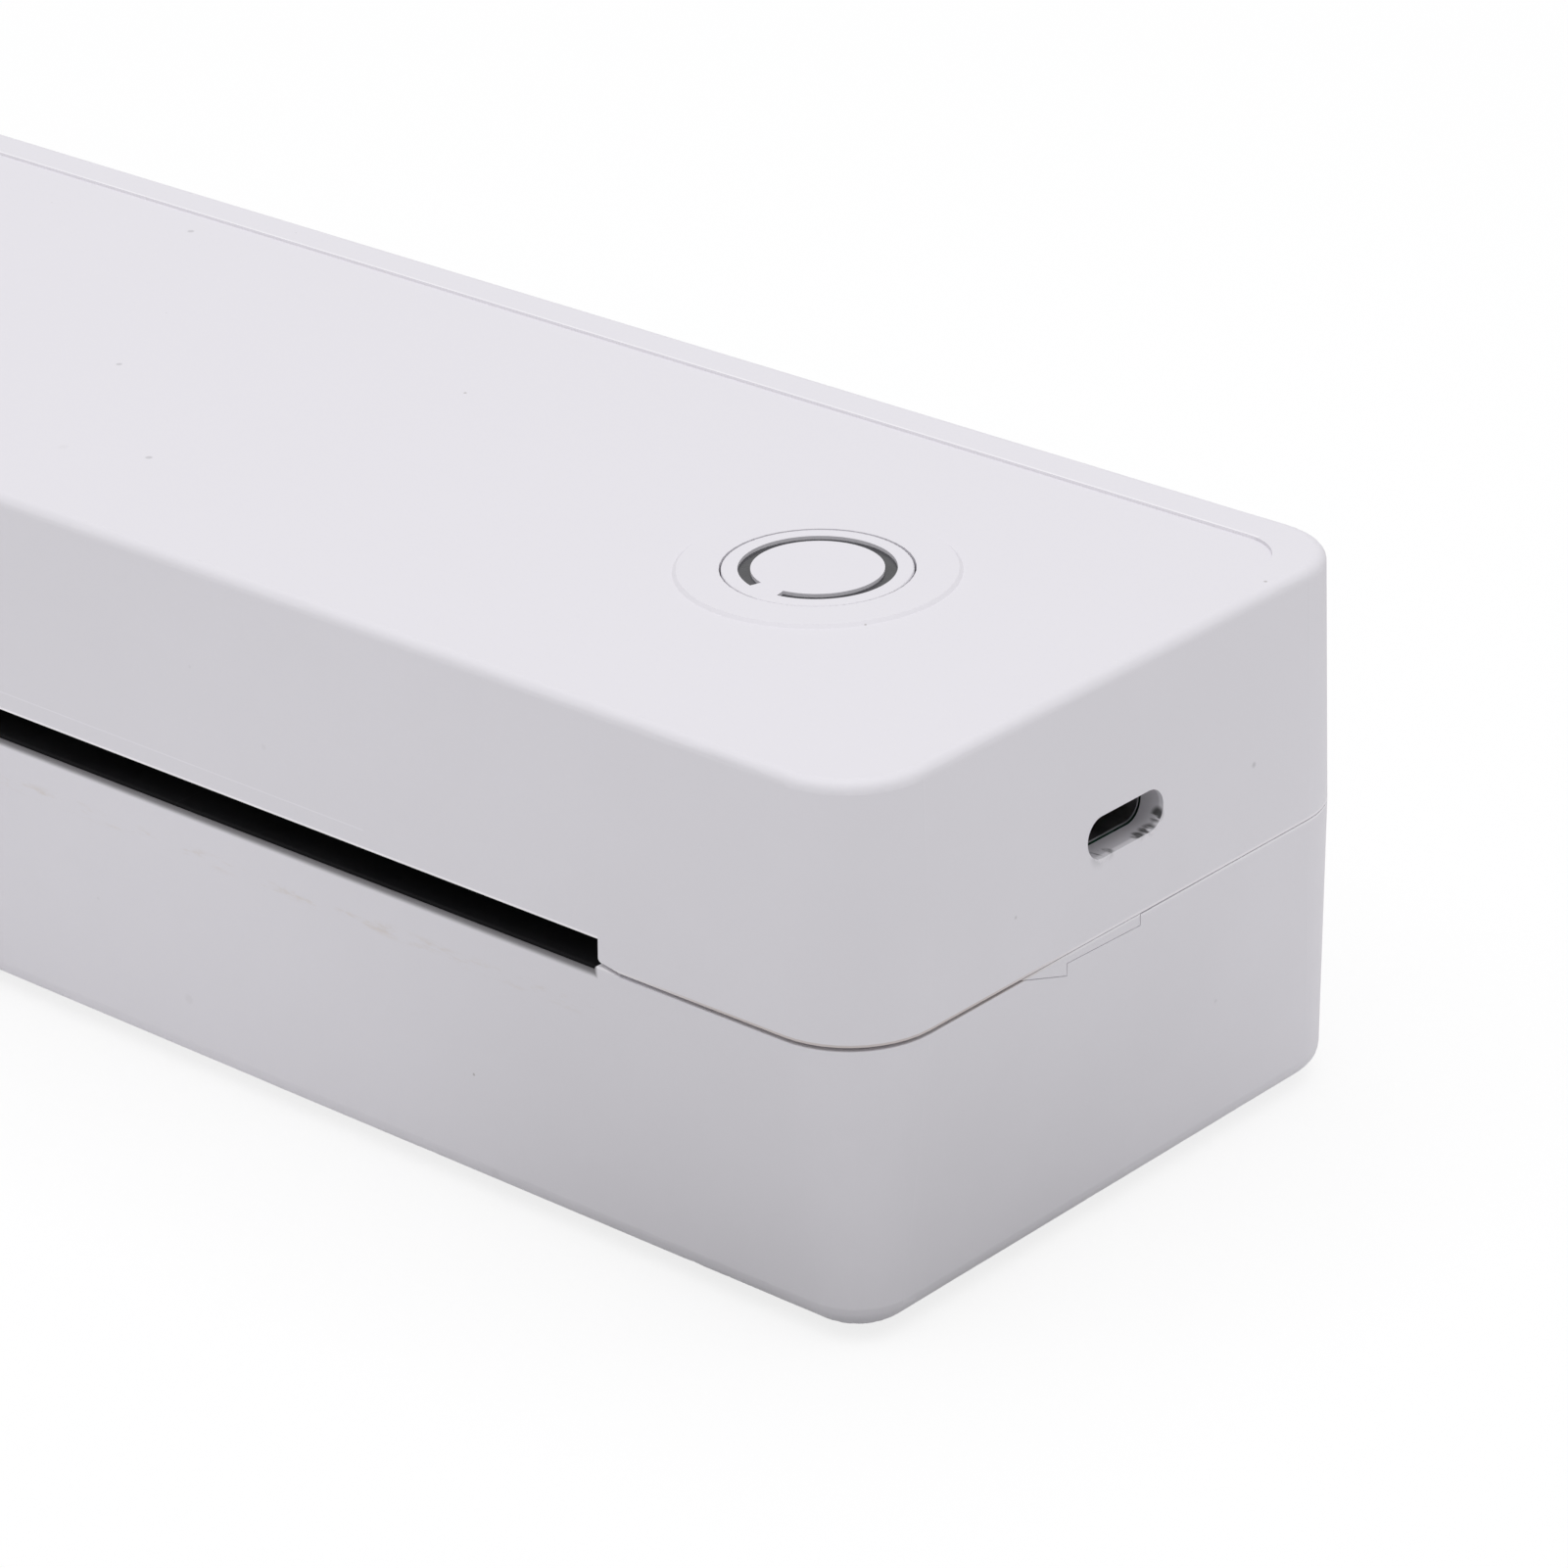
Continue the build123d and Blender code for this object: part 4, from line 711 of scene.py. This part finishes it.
def makeBoard(name, look):
    # solder mask over copper tracks, with bare tinned pads
    material, tree, surface, place = newMaterial(name)
    tracks = addNode(tree, "ShaderNodeTexVoronoi", distance="MANHATTAN", feature="F1")
    tree.links.new(place, tracks.inputs["Vector"])
    tracks.inputs["Scale"].default_value = look["trackScale"]
    path = remap(tree, tracks.outputs["Distance"], 0.42, 0.50)
    colour = colourMix(tree, path, look["mask"], look["track"])
    pads = speckMask(tree, place, look["pads"])
    colour = colourMix(tree, pads, colour, look["pad"])
    tree.links.new(pads, surface.inputs["Metallic"])
    setLook(tree, surface, colour, path, (0.0, 1.0), look["roughness"])
    addBump(tree, surface, path, 0.4, 0.00003)
    return material


wrapDust = {
    "colour": (0.5, 0.5, 0.5),
    "share": 0.3,
    "specks": {"Scale": 500.0, "Size": 0.06, "Rarity": 0.88},
}


def makeSheen(name, colour, shade, roughness, scale, depth, coat, dust):
    # smooth moulded or wrapped surface with soft waves
    material, tree, surface, place = newMaterial(name)
    wave = noise(tree, place, scale, 3.0, 0.55, 0.4)
    tone = colourMix(tree, remap(tree, wave, 0.3, 0.7), colour, shade)
    tone = tint(tree, tone, dust["colour"], speckMask(tree, place, dust["specks"]), dust["share"])
    setLook(tree, surface, tone, wave, (0.2, 0.8), (roughness, roughness + 0.1))
    surface.inputs["Coat Weight"].default_value = coat
    addBump(tree, surface, wave, 0.5, depth)
    return material


cableLook = {
    "film": (0.82, 0.82, 0.78),
    "strip": (0.52, 0.52, 0.52),
    "pitch": 1.0 * mm,
    "stripEdges": ((0.15, 0.25), (0.70, 0.80)),
    "roughness": (0.32, 0.24),
}


def makeFlatCable(name, look):
    # flat cable: tinned strips seen through milky film
    material, tree, surface, place = newMaterial(name)
    strip = stripes(tree, splitPlace(tree, place)["X"], look["pitch"], *look["stripEdges"])
    colour = colourMix(tree, strip, look["film"], look["strip"])
    setLook(tree, surface, colour, strip, (0.0, 1.0), look["roughness"])
    addBump(tree, surface, strip, 0.4, 0.00002)
    return material


# rubbers: colour, shade, roughness, grain scale
rubberLooks = {
    "roller": ("rollerRubber", (0.030, 0.030, 0.033), (0.045, 0.045, 0.050), 0.55, 2600.0),
    "foot": ("footRubber", (0.30, 0.30, 0.31), (0.24, 0.24, 0.25), 0.65, 1500.0),
    "foam": ("foamRubber", (0.10, 0.10, 0.10), (0.05, 0.05, 0.05), 0.80, 700.0),
}
# metals: colour, shade, stretch of the lines, their scale, roughness, depth
metalLooks = {
    "steel": ("groundSteel", (0.60, 0.61, 0.62), (0.44, 0.45, 0.46), (1.0, 30.0, 30.0), 60.0, 0.22, 0.00001),
    "zinc": ("zincSheet", (0.56, 0.57, 0.60), (0.44, 0.45, 0.49), (1.0, 1.0, 1.0), 900.0, 0.34, 0.00002),
    "screw": ("screwSteel", (0.20, 0.20, 0.21), (0.12, 0.12, 0.13), (1.0, 1.0, 1.0), 1800.0, 0.30, 0.00001),
    "aluminium": (
        "headAluminium", (0.70, 0.71, 0.73), (0.58, 0.59, 0.61), (1.0, 40.0, 40.0), 45.0, 0.30, 0.00002,
    ),
    "usb": ("usbSteel", (0.58, 0.58, 0.59), (0.42, 0.42, 0.43), (1.0, 12.0, 12.0), 300.0, 0.28, 0.00001),
    "gold": ("contactGold", (0.83, 0.62, 0.28), (0.70, 0.50, 0.20), (1.0, 8.0, 8.0), 500.0, 0.22, 0.000005),
}
# smooth surfaces: colour, shade, roughness, scale of the waves, their depth, clear coat
sheenLooks = {
    "resin": ("driverResin", (0.012, 0.012, 0.013), (0.022, 0.022, 0.024), 0.18, 160.0, 0.0001, 0.4),
    "wrap": ("batteryWrap", (0.045, 0.11, 0.30), (0.035, 0.09, 0.25), 0.24, 90.0, 0.00015, 0.5),
    "lead": ("leadJacket", (0.030, 0.030, 0.032), (0.050, 0.050, 0.052), 0.42, 600.0, 0.00002, 0.0),
    "tape": ("bandTape", (0.66, 0.47, 0.10), (0.58, 0.40, 0.08), 0.30, 200.0, 0.00004, 0.2),
    "glaze": ("headGlaze", (0.20, 0.13, 0.07), (0.14, 0.09, 0.05), 0.08, 400.0, 0.00001, 0.6),
}

materials = {
    "cover": makeCoverMaterial(housingLook, coverMarks),
    "base": makeBaseMaterial(housingLook, baseMarks),
    "button": makePlainHousing("buttonPlastic", housingLook, 0.83),
    "tab": makePlainHousing("tabPlastic", housingLook, 0.57),
    "inner": makeDarkPlastic("innerPlastic", darkLook, 0.66, 0.00002),
    "component": makeDarkPlastic("componentPlastic", darkLook, 0.35, 0.00001),
    "gear": makeAcetal("gearPlastic", acetalLook),
    "ring": makeSmokedRing("ringPlastic", ringLook),
    "ceramic": makeCeramic("glazedCeramic", ceramicLook),
    "board": makeBoard("boardMask", boardLook),
    "cable": makeFlatCable("flatCableFilm", cableLook),
}
materials.update({key: makeRubber(*values, bloomLook) for key, values in rubberLooks.items()})
materials.update({key: makeMetal(*values) for key, values in metalLooks.items()})
materials.update({key: makeSheen(*values, wrapDust) for key, values in sheenLooks.items()})
print("materials made:", len(materials))

nodeLooks = {
    "cover": ["cover_shell"], "base": ["base_shell"], "button": ["power_button"], "tab": ["release_tab"],
    "inner": ["paper_deck", "cover_inner_panel", "head_brackets"],
    "component": ["switch_body", "switch_plunger", "board_parts", "usb_tongue", "paper_sensor",
                  "platen_bushes"],
    "gear": ["platen_gear", "drive_gear", "idler_gear", "motor_pinion"],
    "ring": ["button_ring"], "roller": ["platen_roller"], "foot": ["rubber_feet"], "foam": ["battery_pads"],
    "steel": ["hinge_pins", "platen_shaft", "head_pivot_pins", "motor_shaft", "gear_axles", "shaft_clips",
              "release_spring", "head_springs"],
    "zinc": ["motor", "gear_plate"], "screw": ["base_screws", "panel_screws", "board_screws"],
    "aluminium": ["head_heatsink"], "usb": ["usb_socket"], "ceramic": ["head_ceramic"],
    "resin": ["head_driver_cover"], "board": ["main_board"], "wrap": ["battery_pack"],
    "lead": ["battery_lead", "motor_lead"], "cable": ["head_cable"],
}

for look, names in nodeLooks.items():
    for name in names:
        for slotPlace in frame["nodes"][name].material_slots:
            slotPlace.material = materials[look]
print("materials on", sum(len(names) for names in nodeLooks.values()), "nodes")


sharpAngle = 38.0                  # degrees; a steeper edge between faces stays sharp
mergeGap = 1e-7                    # metres; points closer than this become one


def gridFaces(rows, columns):
    # each square joins a point to the next one round its ring and to the ring after
    # the last column meets the first
    row = np.arange(rows - 1)[:, None] * columns
    column = np.arange(columns)[None, :]
    after = (column + 1) % columns
    corners = [row + column, row + after, row + columns + after, row + columns + column]
    return np.stack(np.broadcast_arrays(*corners), axis=-1).reshape(-1, 4)


def makePiece(name, grids, look, body):
    # grids are arrays of rings of points; a ring drawn together to one point closes an end
    points, faces, start = [], [], 0
    for grid in grids:
        rows, columns = grid.shape[:2]
        points.append(grid.reshape(-1, 3))
        faces.append(gridFaces(rows, columns) + start)
        start += rows * columns
    mesh = bpy.data.meshes.new(name)
    mesh.from_pydata(np.concatenate(points).tolist(), [], np.concatenate(faces).tolist())
    merged = bmesh.new()
    merged.from_mesh(mesh)
    bmesh.ops.remove_doubles(merged, verts=merged.verts, dist=mergeGap)
    bmesh.ops.recalc_face_normals(merged, faces=merged.faces)
    merged.to_mesh(mesh)
    merged.free()
    mesh.shade_smooth()
    mesh.set_sharp_from_angle(angle=math.radians(sharpAngle))
    mesh.materials.append(materials[look])
    piece = bpy.data.objects.new(name, mesh)
    bpy.context.scene.collection.objects.link(piece)
    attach(piece, body)
    return piece


def sweep(profile, path, side, rise):
    # a closed profile carried along a path: point = path + across * side + up * rise
    # both ends close on the path
    across, up = profile[None, :, :1], profile[None, :, 1:]
    rings = path[:, None, :] + across * side[:, None, :] + up * rise[:, None, :]
    ends = [np.repeat(path[end][None, None, :], len(profile), axis=1) for end in (0, -1)]
    return np.concatenate([ends[0], rings, ends[1]])


def flatBar(profile, path):
    # a profile that stands across Y and up Z all along its path
    side, rise = (np.tile(axis, (len(path), 1)) for axis in ((0.0, 1.0, 0.0), (0.0, 0.0, 1.0)))
    return sweep(profile, path, side, rise)


def roundedBox(width, height, radius, steps=3):
    # rectangle with round corners: each corner's arc swept a quarter turn about its own middle
    turn = (np.arange(4)[:, None] + np.linspace(0.0, 1.0, steps + 1)[None, :]) * math.pi / 2
    signs = np.array([(1, 1), (-1, 1), (-1, -1), (1, -1)])
    middles = signs * (np.array([width, height]) / 2 - radius)
    arcs = middles[:, None, :] + radius * np.stack([np.cos(turn), np.sin(turn)], axis=-1)
    return arcs.reshape(-1, 2)


def islandBoxes(name):
    # boxes of a node's separate solids: points that share a place or a triangle take the lowest
    # label among them, until nothing changes
    mesh = frame["nodes"][name].data
    points = np.empty(len(mesh.vertices) * 3)
    mesh.vertices.foreach_get("co", points)
    points, places = np.unique(np.round(points.reshape(-1, 3), 7), axis=0, return_inverse=True)
    corners = np.empty(len(mesh.loops), dtype=np.int64)
    mesh.loops.foreach_get("vertex_index", corners)
    triangles = places.ravel()[corners].reshape(-1, 3)
    labels, settled = np.arange(len(points)), False
    while not settled:
        lowest = labels.copy()
        np.minimum.at(lowest, triangles, labels[triangles].min(axis=1)[:, None])
        settled = (lowest == labels).all()
        labels = lowest[lowest]
    islands = [points[labels == label] for label in np.unique(labels)]
    return [(island.min(axis=0), island.max(axis=0)) for island in islands]


screwForm = {
    "headRadius": 1.86 * mm,
    "headHeight": 0.78 * mm,
    "seat": 0.80 * mm,        # from the head's top to the face it rests on
    "crown": 0.34,            # share of the head's height that its top falls towards the rim
    "topReach": 0.94,         # share of the head's radius where the round rim starts
    "rim": ((0.985, 0.52), (1.0, 0.38), (1.0, 0.0)),
    "threadRadius": 0.98 * mm,
    "threadDepth": 0.20 * mm,
    "pitch": 0.60 * mm,
    "tip": 0.90 * mm,         # length of the point
    "tipShare": 0.45,         # of the thread's root radius, left at the point's end
    "crossWidth": 0.62 * mm,
    "crossReach": 1.12 * mm,
    "crossDepth": 0.52 * mm,
    "crossTaper": (1.2, 0.4),
    "crossSlope": 0.45,
    "wallSoft": 0.09 * mm,
    "endSoft": 0.12 * mm,
    "turn": 0.3,              # radians; each screw stands turned by its place as well
    "turnPerMetre": 40.0,
    "around": 72,
    "topRings": 30,
    "ringsPerPitch": 8,
}

screwSets = {
    "crossBaseScrews": {"node": "base_screws", "body": "base", "facing": -1, "length": 4.8 * mm},
    "crossPanelScrews": {"node": "panel_screws", "body": "cover", "facing": -1, "length": 4.8 * mm},
    "crossBoardScrews": {"node": "board_screws", "body": "cover", "facing": 1, "length": 2.8 * mm},
}


def crossDepth(form, radius, turn):
    # depth of the cross recess: two arms at right angles, deepest in the middle, sloping up to their ends
    x, y = np.abs(radius * np.cos(turn)), np.abs(radius * np.sin(turn))
    along, across = np.maximum(x, y), np.minimum(x, y)
    share = along / form["crossReach"]
    full, fall = form["crossTaper"]
    wall = np.clip((form["crossWidth"] / 2 * (full - fall * share) - across) / form["wallSoft"], 0.0, 1.0)
    end = np.clip((form["crossReach"] - along) / form["endSoft"], 0.0, 1.0)
    return form["crossDepth"] * wall * end * (1.0 - form["crossSlope"] * share)


def screwGrid(form, x, y, seatZ, length, facing):
    # rings from the head's middle to its rim, in under it, and down a thread
    # the thread's radius follows height minus turn
    turn = np.linspace(0.0, 2 * math.pi, form["around"], endpoint=False)[None, :]
    topRadius = np.linspace(0.0, form["topReach"] * form["headRadius"], form["topRings"])[:, None]
    topHeight = form["headHeight"] * (1.0 - form["crown"] * (topRadius / form["headRadius"]) ** 2)
    topHeight = topHeight - crossDepth(form, topRadius, turn + form["turn"] + x * form["turnPerMetre"])
    rim = np.array(form["rim"])
    rimRadius, rimHeight = rim[:, :1] * form["headRadius"], rim[:, 1:] * form["headHeight"]
    steps = int(length / form["pitch"] * form["ringsPerPitch"])
    down = np.linspace(0.0, 1.0, steps)[:, None] * length
    phase = (down / form["pitch"] - turn / (2 * math.pi)) % 1.0
    ridge = 1.0 - np.abs(2.0 * phase - 1.0)
    tip = np.clip((length - down) / form["tip"], 0.0, 1.0)
    start = np.clip(down / form["pitch"], 0.0, 1.0)
    root = form["threadRadius"] - form["threadDepth"]
    core = root * (form["tipShare"] + (1.0 - form["tipShare"]) * tip)
    threadRadius = core + form["threadDepth"] * ridge * tip * start
    radius = np.concatenate([np.broadcast_to(part, (len(part), form["around"]))
                             for part in (topRadius, rimRadius, threadRadius, np.zeros((1, 1)))])
    height = np.concatenate([np.broadcast_to(part, (len(part), form["around"]))
                             for part in (topHeight, rimHeight, -down, np.full((1, 1), -length))])
    return np.stack([x + radius * np.cos(turn), y + radius * np.sin(turn), seatZ + facing * height], axis=-1)


def makeScrews(form, name, node, body, facing, length):
    grids = []
    for low, high in islandBoxes(node):
        x, y = (low[0] + high[0]) / 2, (low[1] + high[1]) / 2
        headZ = high[2] if facing > 0 else low[2]
        grids.append(screwGrid(form, x, y, headZ - facing * form["seat"], length, facing))
    piece = makePiece(name, grids, "screw", body)
    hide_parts(node)
    return len(grids)


print("screws made:", sum(makeScrews(screwForm, name, **values) for name, values in screwSets.items()))


leafForms = {
    "releaseLeaf": {
        "node": "release_spring", "body": "base", "joint": "release_push", "thickness": 0.3 * mm,
        "chordAxis": 2, "riseAxis": 0, "anchorAtCrown": False, "give": 1.2 * mm,
    },
    "headLeaves": {
        "node": "head_springs", "body": "cover", "joint": "head_lift", "thickness": 0.5 * mm,
        "chordAxis": 0, "riseAxis": 2, "anchorAtCrown": True, "give": 0.30 * mm,
    },
}
leafRings = 41
leafCorner = 0.3                   # corner radius as a share of the leaf's thickness


def makeLeafSprings(name, form):
    # bowed leaf: height above the feet = rise * (1 - t squared) for t from -1 to 1 along the chord
    chord, rise = form["chordAxis"], form["riseAxis"]
    width = 3 - chord - rise
    along = np.linspace(-1.0, 1.0, leafRings)
    grids = []
    for low, high in islandBoxes(form["node"]):
        size, middle, half = high - low, (low + high) / 2, form["thickness"] / 2
        path = np.tile(middle, (len(along), 1))
        path[:, chord] += along * (size[chord] / 2 - half)
        path[:, rise] = low[rise] + half + (size[rise] - 2 * half) * (1.0 - along ** 2)
        slope = np.gradient(path, axis=0)
        across = np.zeros_like(path)
        across[:, width] = 1.0
        normal = np.cross(slope, across)
        normal /= np.linalg.norm(normal, axis=1, keepdims=True)
        profile = roundedBox(size[width], form["thickness"], form["thickness"] * leafCorner)
        grids.append(sweep(profile, path, across, normal))
    piece = makePiece(name, grids, "steel", form["body"])
    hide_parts(form["node"])
    # the piece gets a mesh of its own
    low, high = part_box(form["node"])
    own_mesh(piece)


for leafName, leafForm in leafForms.items():
    makeLeafSprings(leafName, leafForm)
print("leaf springs made:", len(leafForms))


contactForm = {
    "count": 12,
    "pitch": 0.50 * mm,
    "width": 0.26 * mm,
    "thick": 0.08 * mm,
    "corner": 0.02 * mm,
    "proud": 0.02 * mm,
    "length": 3.40 * mm,
    "frontGap": 0.35 * mm,    # from the tongue's front edge
    "bend": 0.30 * mm,
    "dip": 0.06 * mm,
}


def makeUsbContacts(form):
    # two rows of thin strips let into the tongue's faces, bent down at the front
    profile = roundedBox(form["width"], form["thick"], form["corner"])
    front = tongueHigh[0] - form["frontGap"]
    row = (np.arange(form["count"]) - (form["count"] - 1) / 2) * form["pitch"] + socketY
    grids = []
    for face, faceZ in ((-1, tongueLow[2]), (1, tongueHigh[2])):
        top = faceZ + face * (form["proud"] - form["thick"] / 2)
        for y in row:
            path = np.array([
                (front - form["length"], y, top),
                (front - form["bend"], y, top),
                (front, y, top - face * form["dip"]),
            ])
            grids.append(flatBar(profile, path))
    makePiece("usbContacts", grids, "gold", "cover")
    return len(grids)


print("contact strips made:", makeUsbContacts(contactForm))


glazeForm = {"width": 1.5 * mm, "height": 0.09 * mm, "endGap": 2.0 * mm, "around": 20}


def makeHeaterGlaze(form):
    # low ridge over the heating line: an ellipse, half of it sunk in the strip, carried along it
    turn = np.linspace(0.0, 2 * math.pi, form["around"], endpoint=False)
    profile = np.stack([form["width"] / 2 * np.cos(turn), form["height"] * np.sin(turn)], axis=-1)
    start = (ceramicLow[0] + form["endGap"], heatLineY, ceramicLow[2])
    end = (ceramicHigh[0] - form["endGap"], heatLineY, ceramicLow[2])
    grid = flatBar(profile, np.array([start, end]))
    makePiece("heaterGlaze", [grid], "glaze", "print_head")


makeHeaterGlaze(glazeForm)
print("heater glaze made")


chipForm = {
    "tallest": 1.3 * mm,      # only flat, square parts of the board are chips with legs
    "outOfSquare": 0.1 * mm,
    "legWidth": 0.22 * mm,
    "legThick": 0.12 * mm,
    "corner": 0.02 * mm,
    "pitch": 0.5 * mm,
    "edgeGap": 0.9 * mm,
    "inset": 0.15 * mm,
    "reach": 0.75 * mm,
    "bends": (0.35, 0.5),     # shares of the reach
    "shoulder": 0.5,          # share of the chip's height
    "footHeight": 0.07 * mm,
}


def makeChipLegs(form):
    # gull-wing legs: out from the body, down to the board and out along it, on all four sides
    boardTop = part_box("main_board")[1][2]
    profile = roundedBox(form["legThick"], form["legWidth"], form["corner"], 1)
    grids = []
    for low, high in islandBoxes("board_parts"):
        size = high - low
        if size[2] >= form["tallest"] or abs(size[0] - size[1]) >= form["outOfSquare"]:
            continue
        middle, half = (low + high) / 2, size[0] / 2
        first, second = form["bends"]
        out = np.array([-form["inset"], form["reach"] * first, form["reach"] * second, form["reach"]]) + half
        shoulder = size[2] * form["shoulder"]
        up = np.array([shoulder, shoulder, form["footHeight"], form["footHeight"]]) + boardTop
        places = np.arange(-half + form["edgeGap"], half - form["edgeGap"] + 1e-6, form["pitch"])
        for quarter in range(4):
            angle = quarter * math.pi / 2
            outward = np.array([math.cos(angle), math.sin(angle), 0.0])
            along = np.array([-outward[1], outward[0], 0.0])
            # the two middle rings lean outwards, so that the leg keeps its thickness round the bends
            rise = np.array([(0.0, 0.0, 1.0)] * 4) + np.array([0.0, 1.0, 1.0, 0.0])[:, None] * outward
            for shift in places:
                flat = [middle[axis] + out * outward[axis] + shift * along[axis] for axis in (0, 1)]
                grids.append(sweep(profile, np.stack(flat + [up], axis=-1), rise, np.tile(along, (4, 1))))
    makePiece("chipLegs", grids, "steel", "cover")
    return len(grids)


print("chip legs made:", makeChipLegs(chipForm))


tapeForm = {
    "width": 24.0 * mm,
    "proud": 0.10 * mm,
    "corner": 1.6 * mm,
    "cornerSteps": 5,
    "places": (0.2, 0.8),     # shares of the pack's length
}


def makeBatteryTape(form):
    # two bands round the pack: a rounded rectangle carried a short way along it
    low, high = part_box("battery_pack")
    middle = (low[1] + high[1]) / 2, (low[2] + high[2]) / 2
    depth, height = high[1] - low[1] + 2 * form["proud"], high[2] - low[2] + 2 * form["proud"]
    profile = roundedBox(depth, height, form["corner"], form["cornerSteps"])
    grids = []
    for share in form["places"]:
        x = low[0] + share * (high[0] - low[0])
        ends = [(x + side * form["width"] / 2, *middle) for side in (-1, 1)]
        grids.append(flatBar(profile, np.array(ends)))
    makePiece("batteryTape", grids, "tape", "cover")
    return len(grids)


print("battery bands made:", makeBatteryTape(tapeForm))


stageSettings = {
    "floorSize": 6.0,
    "floorColour": (0.84, 0.84, 0.845),
    "floorRoughness": 0.9,
    "nearShade": 0.41,             # share of the floor's colour left beside the near corner
    "shadeReach": (8.0 * mm, 75.0 * mm),
    "floorGlow": 0.80,             # share of plain white that the camera sees in the floor
    "ambient": 0.58,
    "lampPower": 16.5,
    "lampSize": 2.0,
    "lampPlace": (0.15, -0.1, 1.6),
    "lampColour": (0.985, 0.985, 1.0),
}


def makeStage(settings):
    half = settings["floorSize"] / 2
    corners = [(-half, -half, 0.0), (half, -half, 0.0), (half, half, 0.0), (-half, half, 0.0)]
    mesh = bpy.data.meshes.new("floor")
    mesh.from_pydata(corners, [], [(0, 1, 2, 3)])
    floor = bpy.data.objects.new("floor", mesh)
    bpy.context.scene.collection.objects.link(floor)
    material, tree, surface, place = newMaterial("paleFloor")
    output = next(node for node in tree.nodes if node.type == "OUTPUT_MATERIAL")
    # painted shade: the floor's colour is darkened beside the near corner, so less light comes back from it
    # onto the object
    gap = addNode(tree, "ShaderNodeVectorMath", operation="DISTANCE")
    tree.links.new(place, gap.inputs[0])
    gap.inputs[1].default_value = (rightX, frontY, 0.0)
    share = remap(tree, gap.outputs["Value"], *settings["shadeReach"], settings["nearShade"], 1.0)
    shaded = colourMix(tree, share, (0.0, 0.0, 0.0), settings["floorColour"])
    path = addNode(tree, "ShaderNodeLightPath")
    colour = colourMix(tree, path.outputs["Is Camera Ray"], shaded, (1.0, 1.0, 1.0))
    tree.links.new(colour, surface.inputs["Base Color"])
    surface.inputs["Roughness"].default_value = settings["floorRoughness"]
    # the camera and reflections see a share of plain white instead of the lit floor
    glow = addNode(tree, "ShaderNodeEmission")
    seen = mathNode(tree, "ADD", path.outputs["Is Camera Ray"], path.outputs["Is Glossy Ray"], clamp=True)
    mix = addNode(tree, "ShaderNodeMixShader")
    tree.links.new(mathNode(tree, "MULTIPLY", seen, settings["floorGlow"]), mix.inputs["Fac"])
    tree.links.new(surface.outputs["BSDF"], mix.inputs[1])
    tree.links.new(glow.outputs["Emission"], mix.inputs[2])
    tree.links.new(mix.outputs["Shader"], output.inputs["Surface"])
    mesh.materials.append(material)


def makeWorld(settings):
    # plain white to the camera and through clear parts, a softer light on the object
    world = bpy.data.worlds.new("softWorld")
    bpy.context.scene.world = world
    world.use_nodes = True
    tree = world.node_tree
    back = next(node for node in tree.nodes if node.type == "BACKGROUND")
    back.inputs["Color"].default_value = (1.0, 1.0, 1.0, 1.0)
    path = addNode(tree, "ShaderNodeLightPath")
    seen = mathNode(tree, "MAXIMUM", path.outputs["Is Camera Ray"], path.outputs["Is Transmission Ray"])
    strength = remap(tree, seen, 0.0, 1.0, settings["ambient"], 1.0)
    tree.links.new(strength, back.inputs["Strength"])


def makeLamp(settings):
    data = bpy.data.lights.new("overheadLamp", "AREA")
    data.shape = "SQUARE"
    data.size = settings["lampSize"]
    data.energy = settings["lampPower"]
    data.color = settings["lampColour"]
    lamp = bpy.data.objects.new("overheadLamp", data)
    lamp.location = settings["lampPlace"]
    bpy.context.scene.collection.objects.link(lamp)


makeStage(stageSettings)
makeWorld(stageSettings)
makeLamp(stageSettings)
bpy.context.scene.view_settings.view_transform = "Standard"
print("stage and light set")
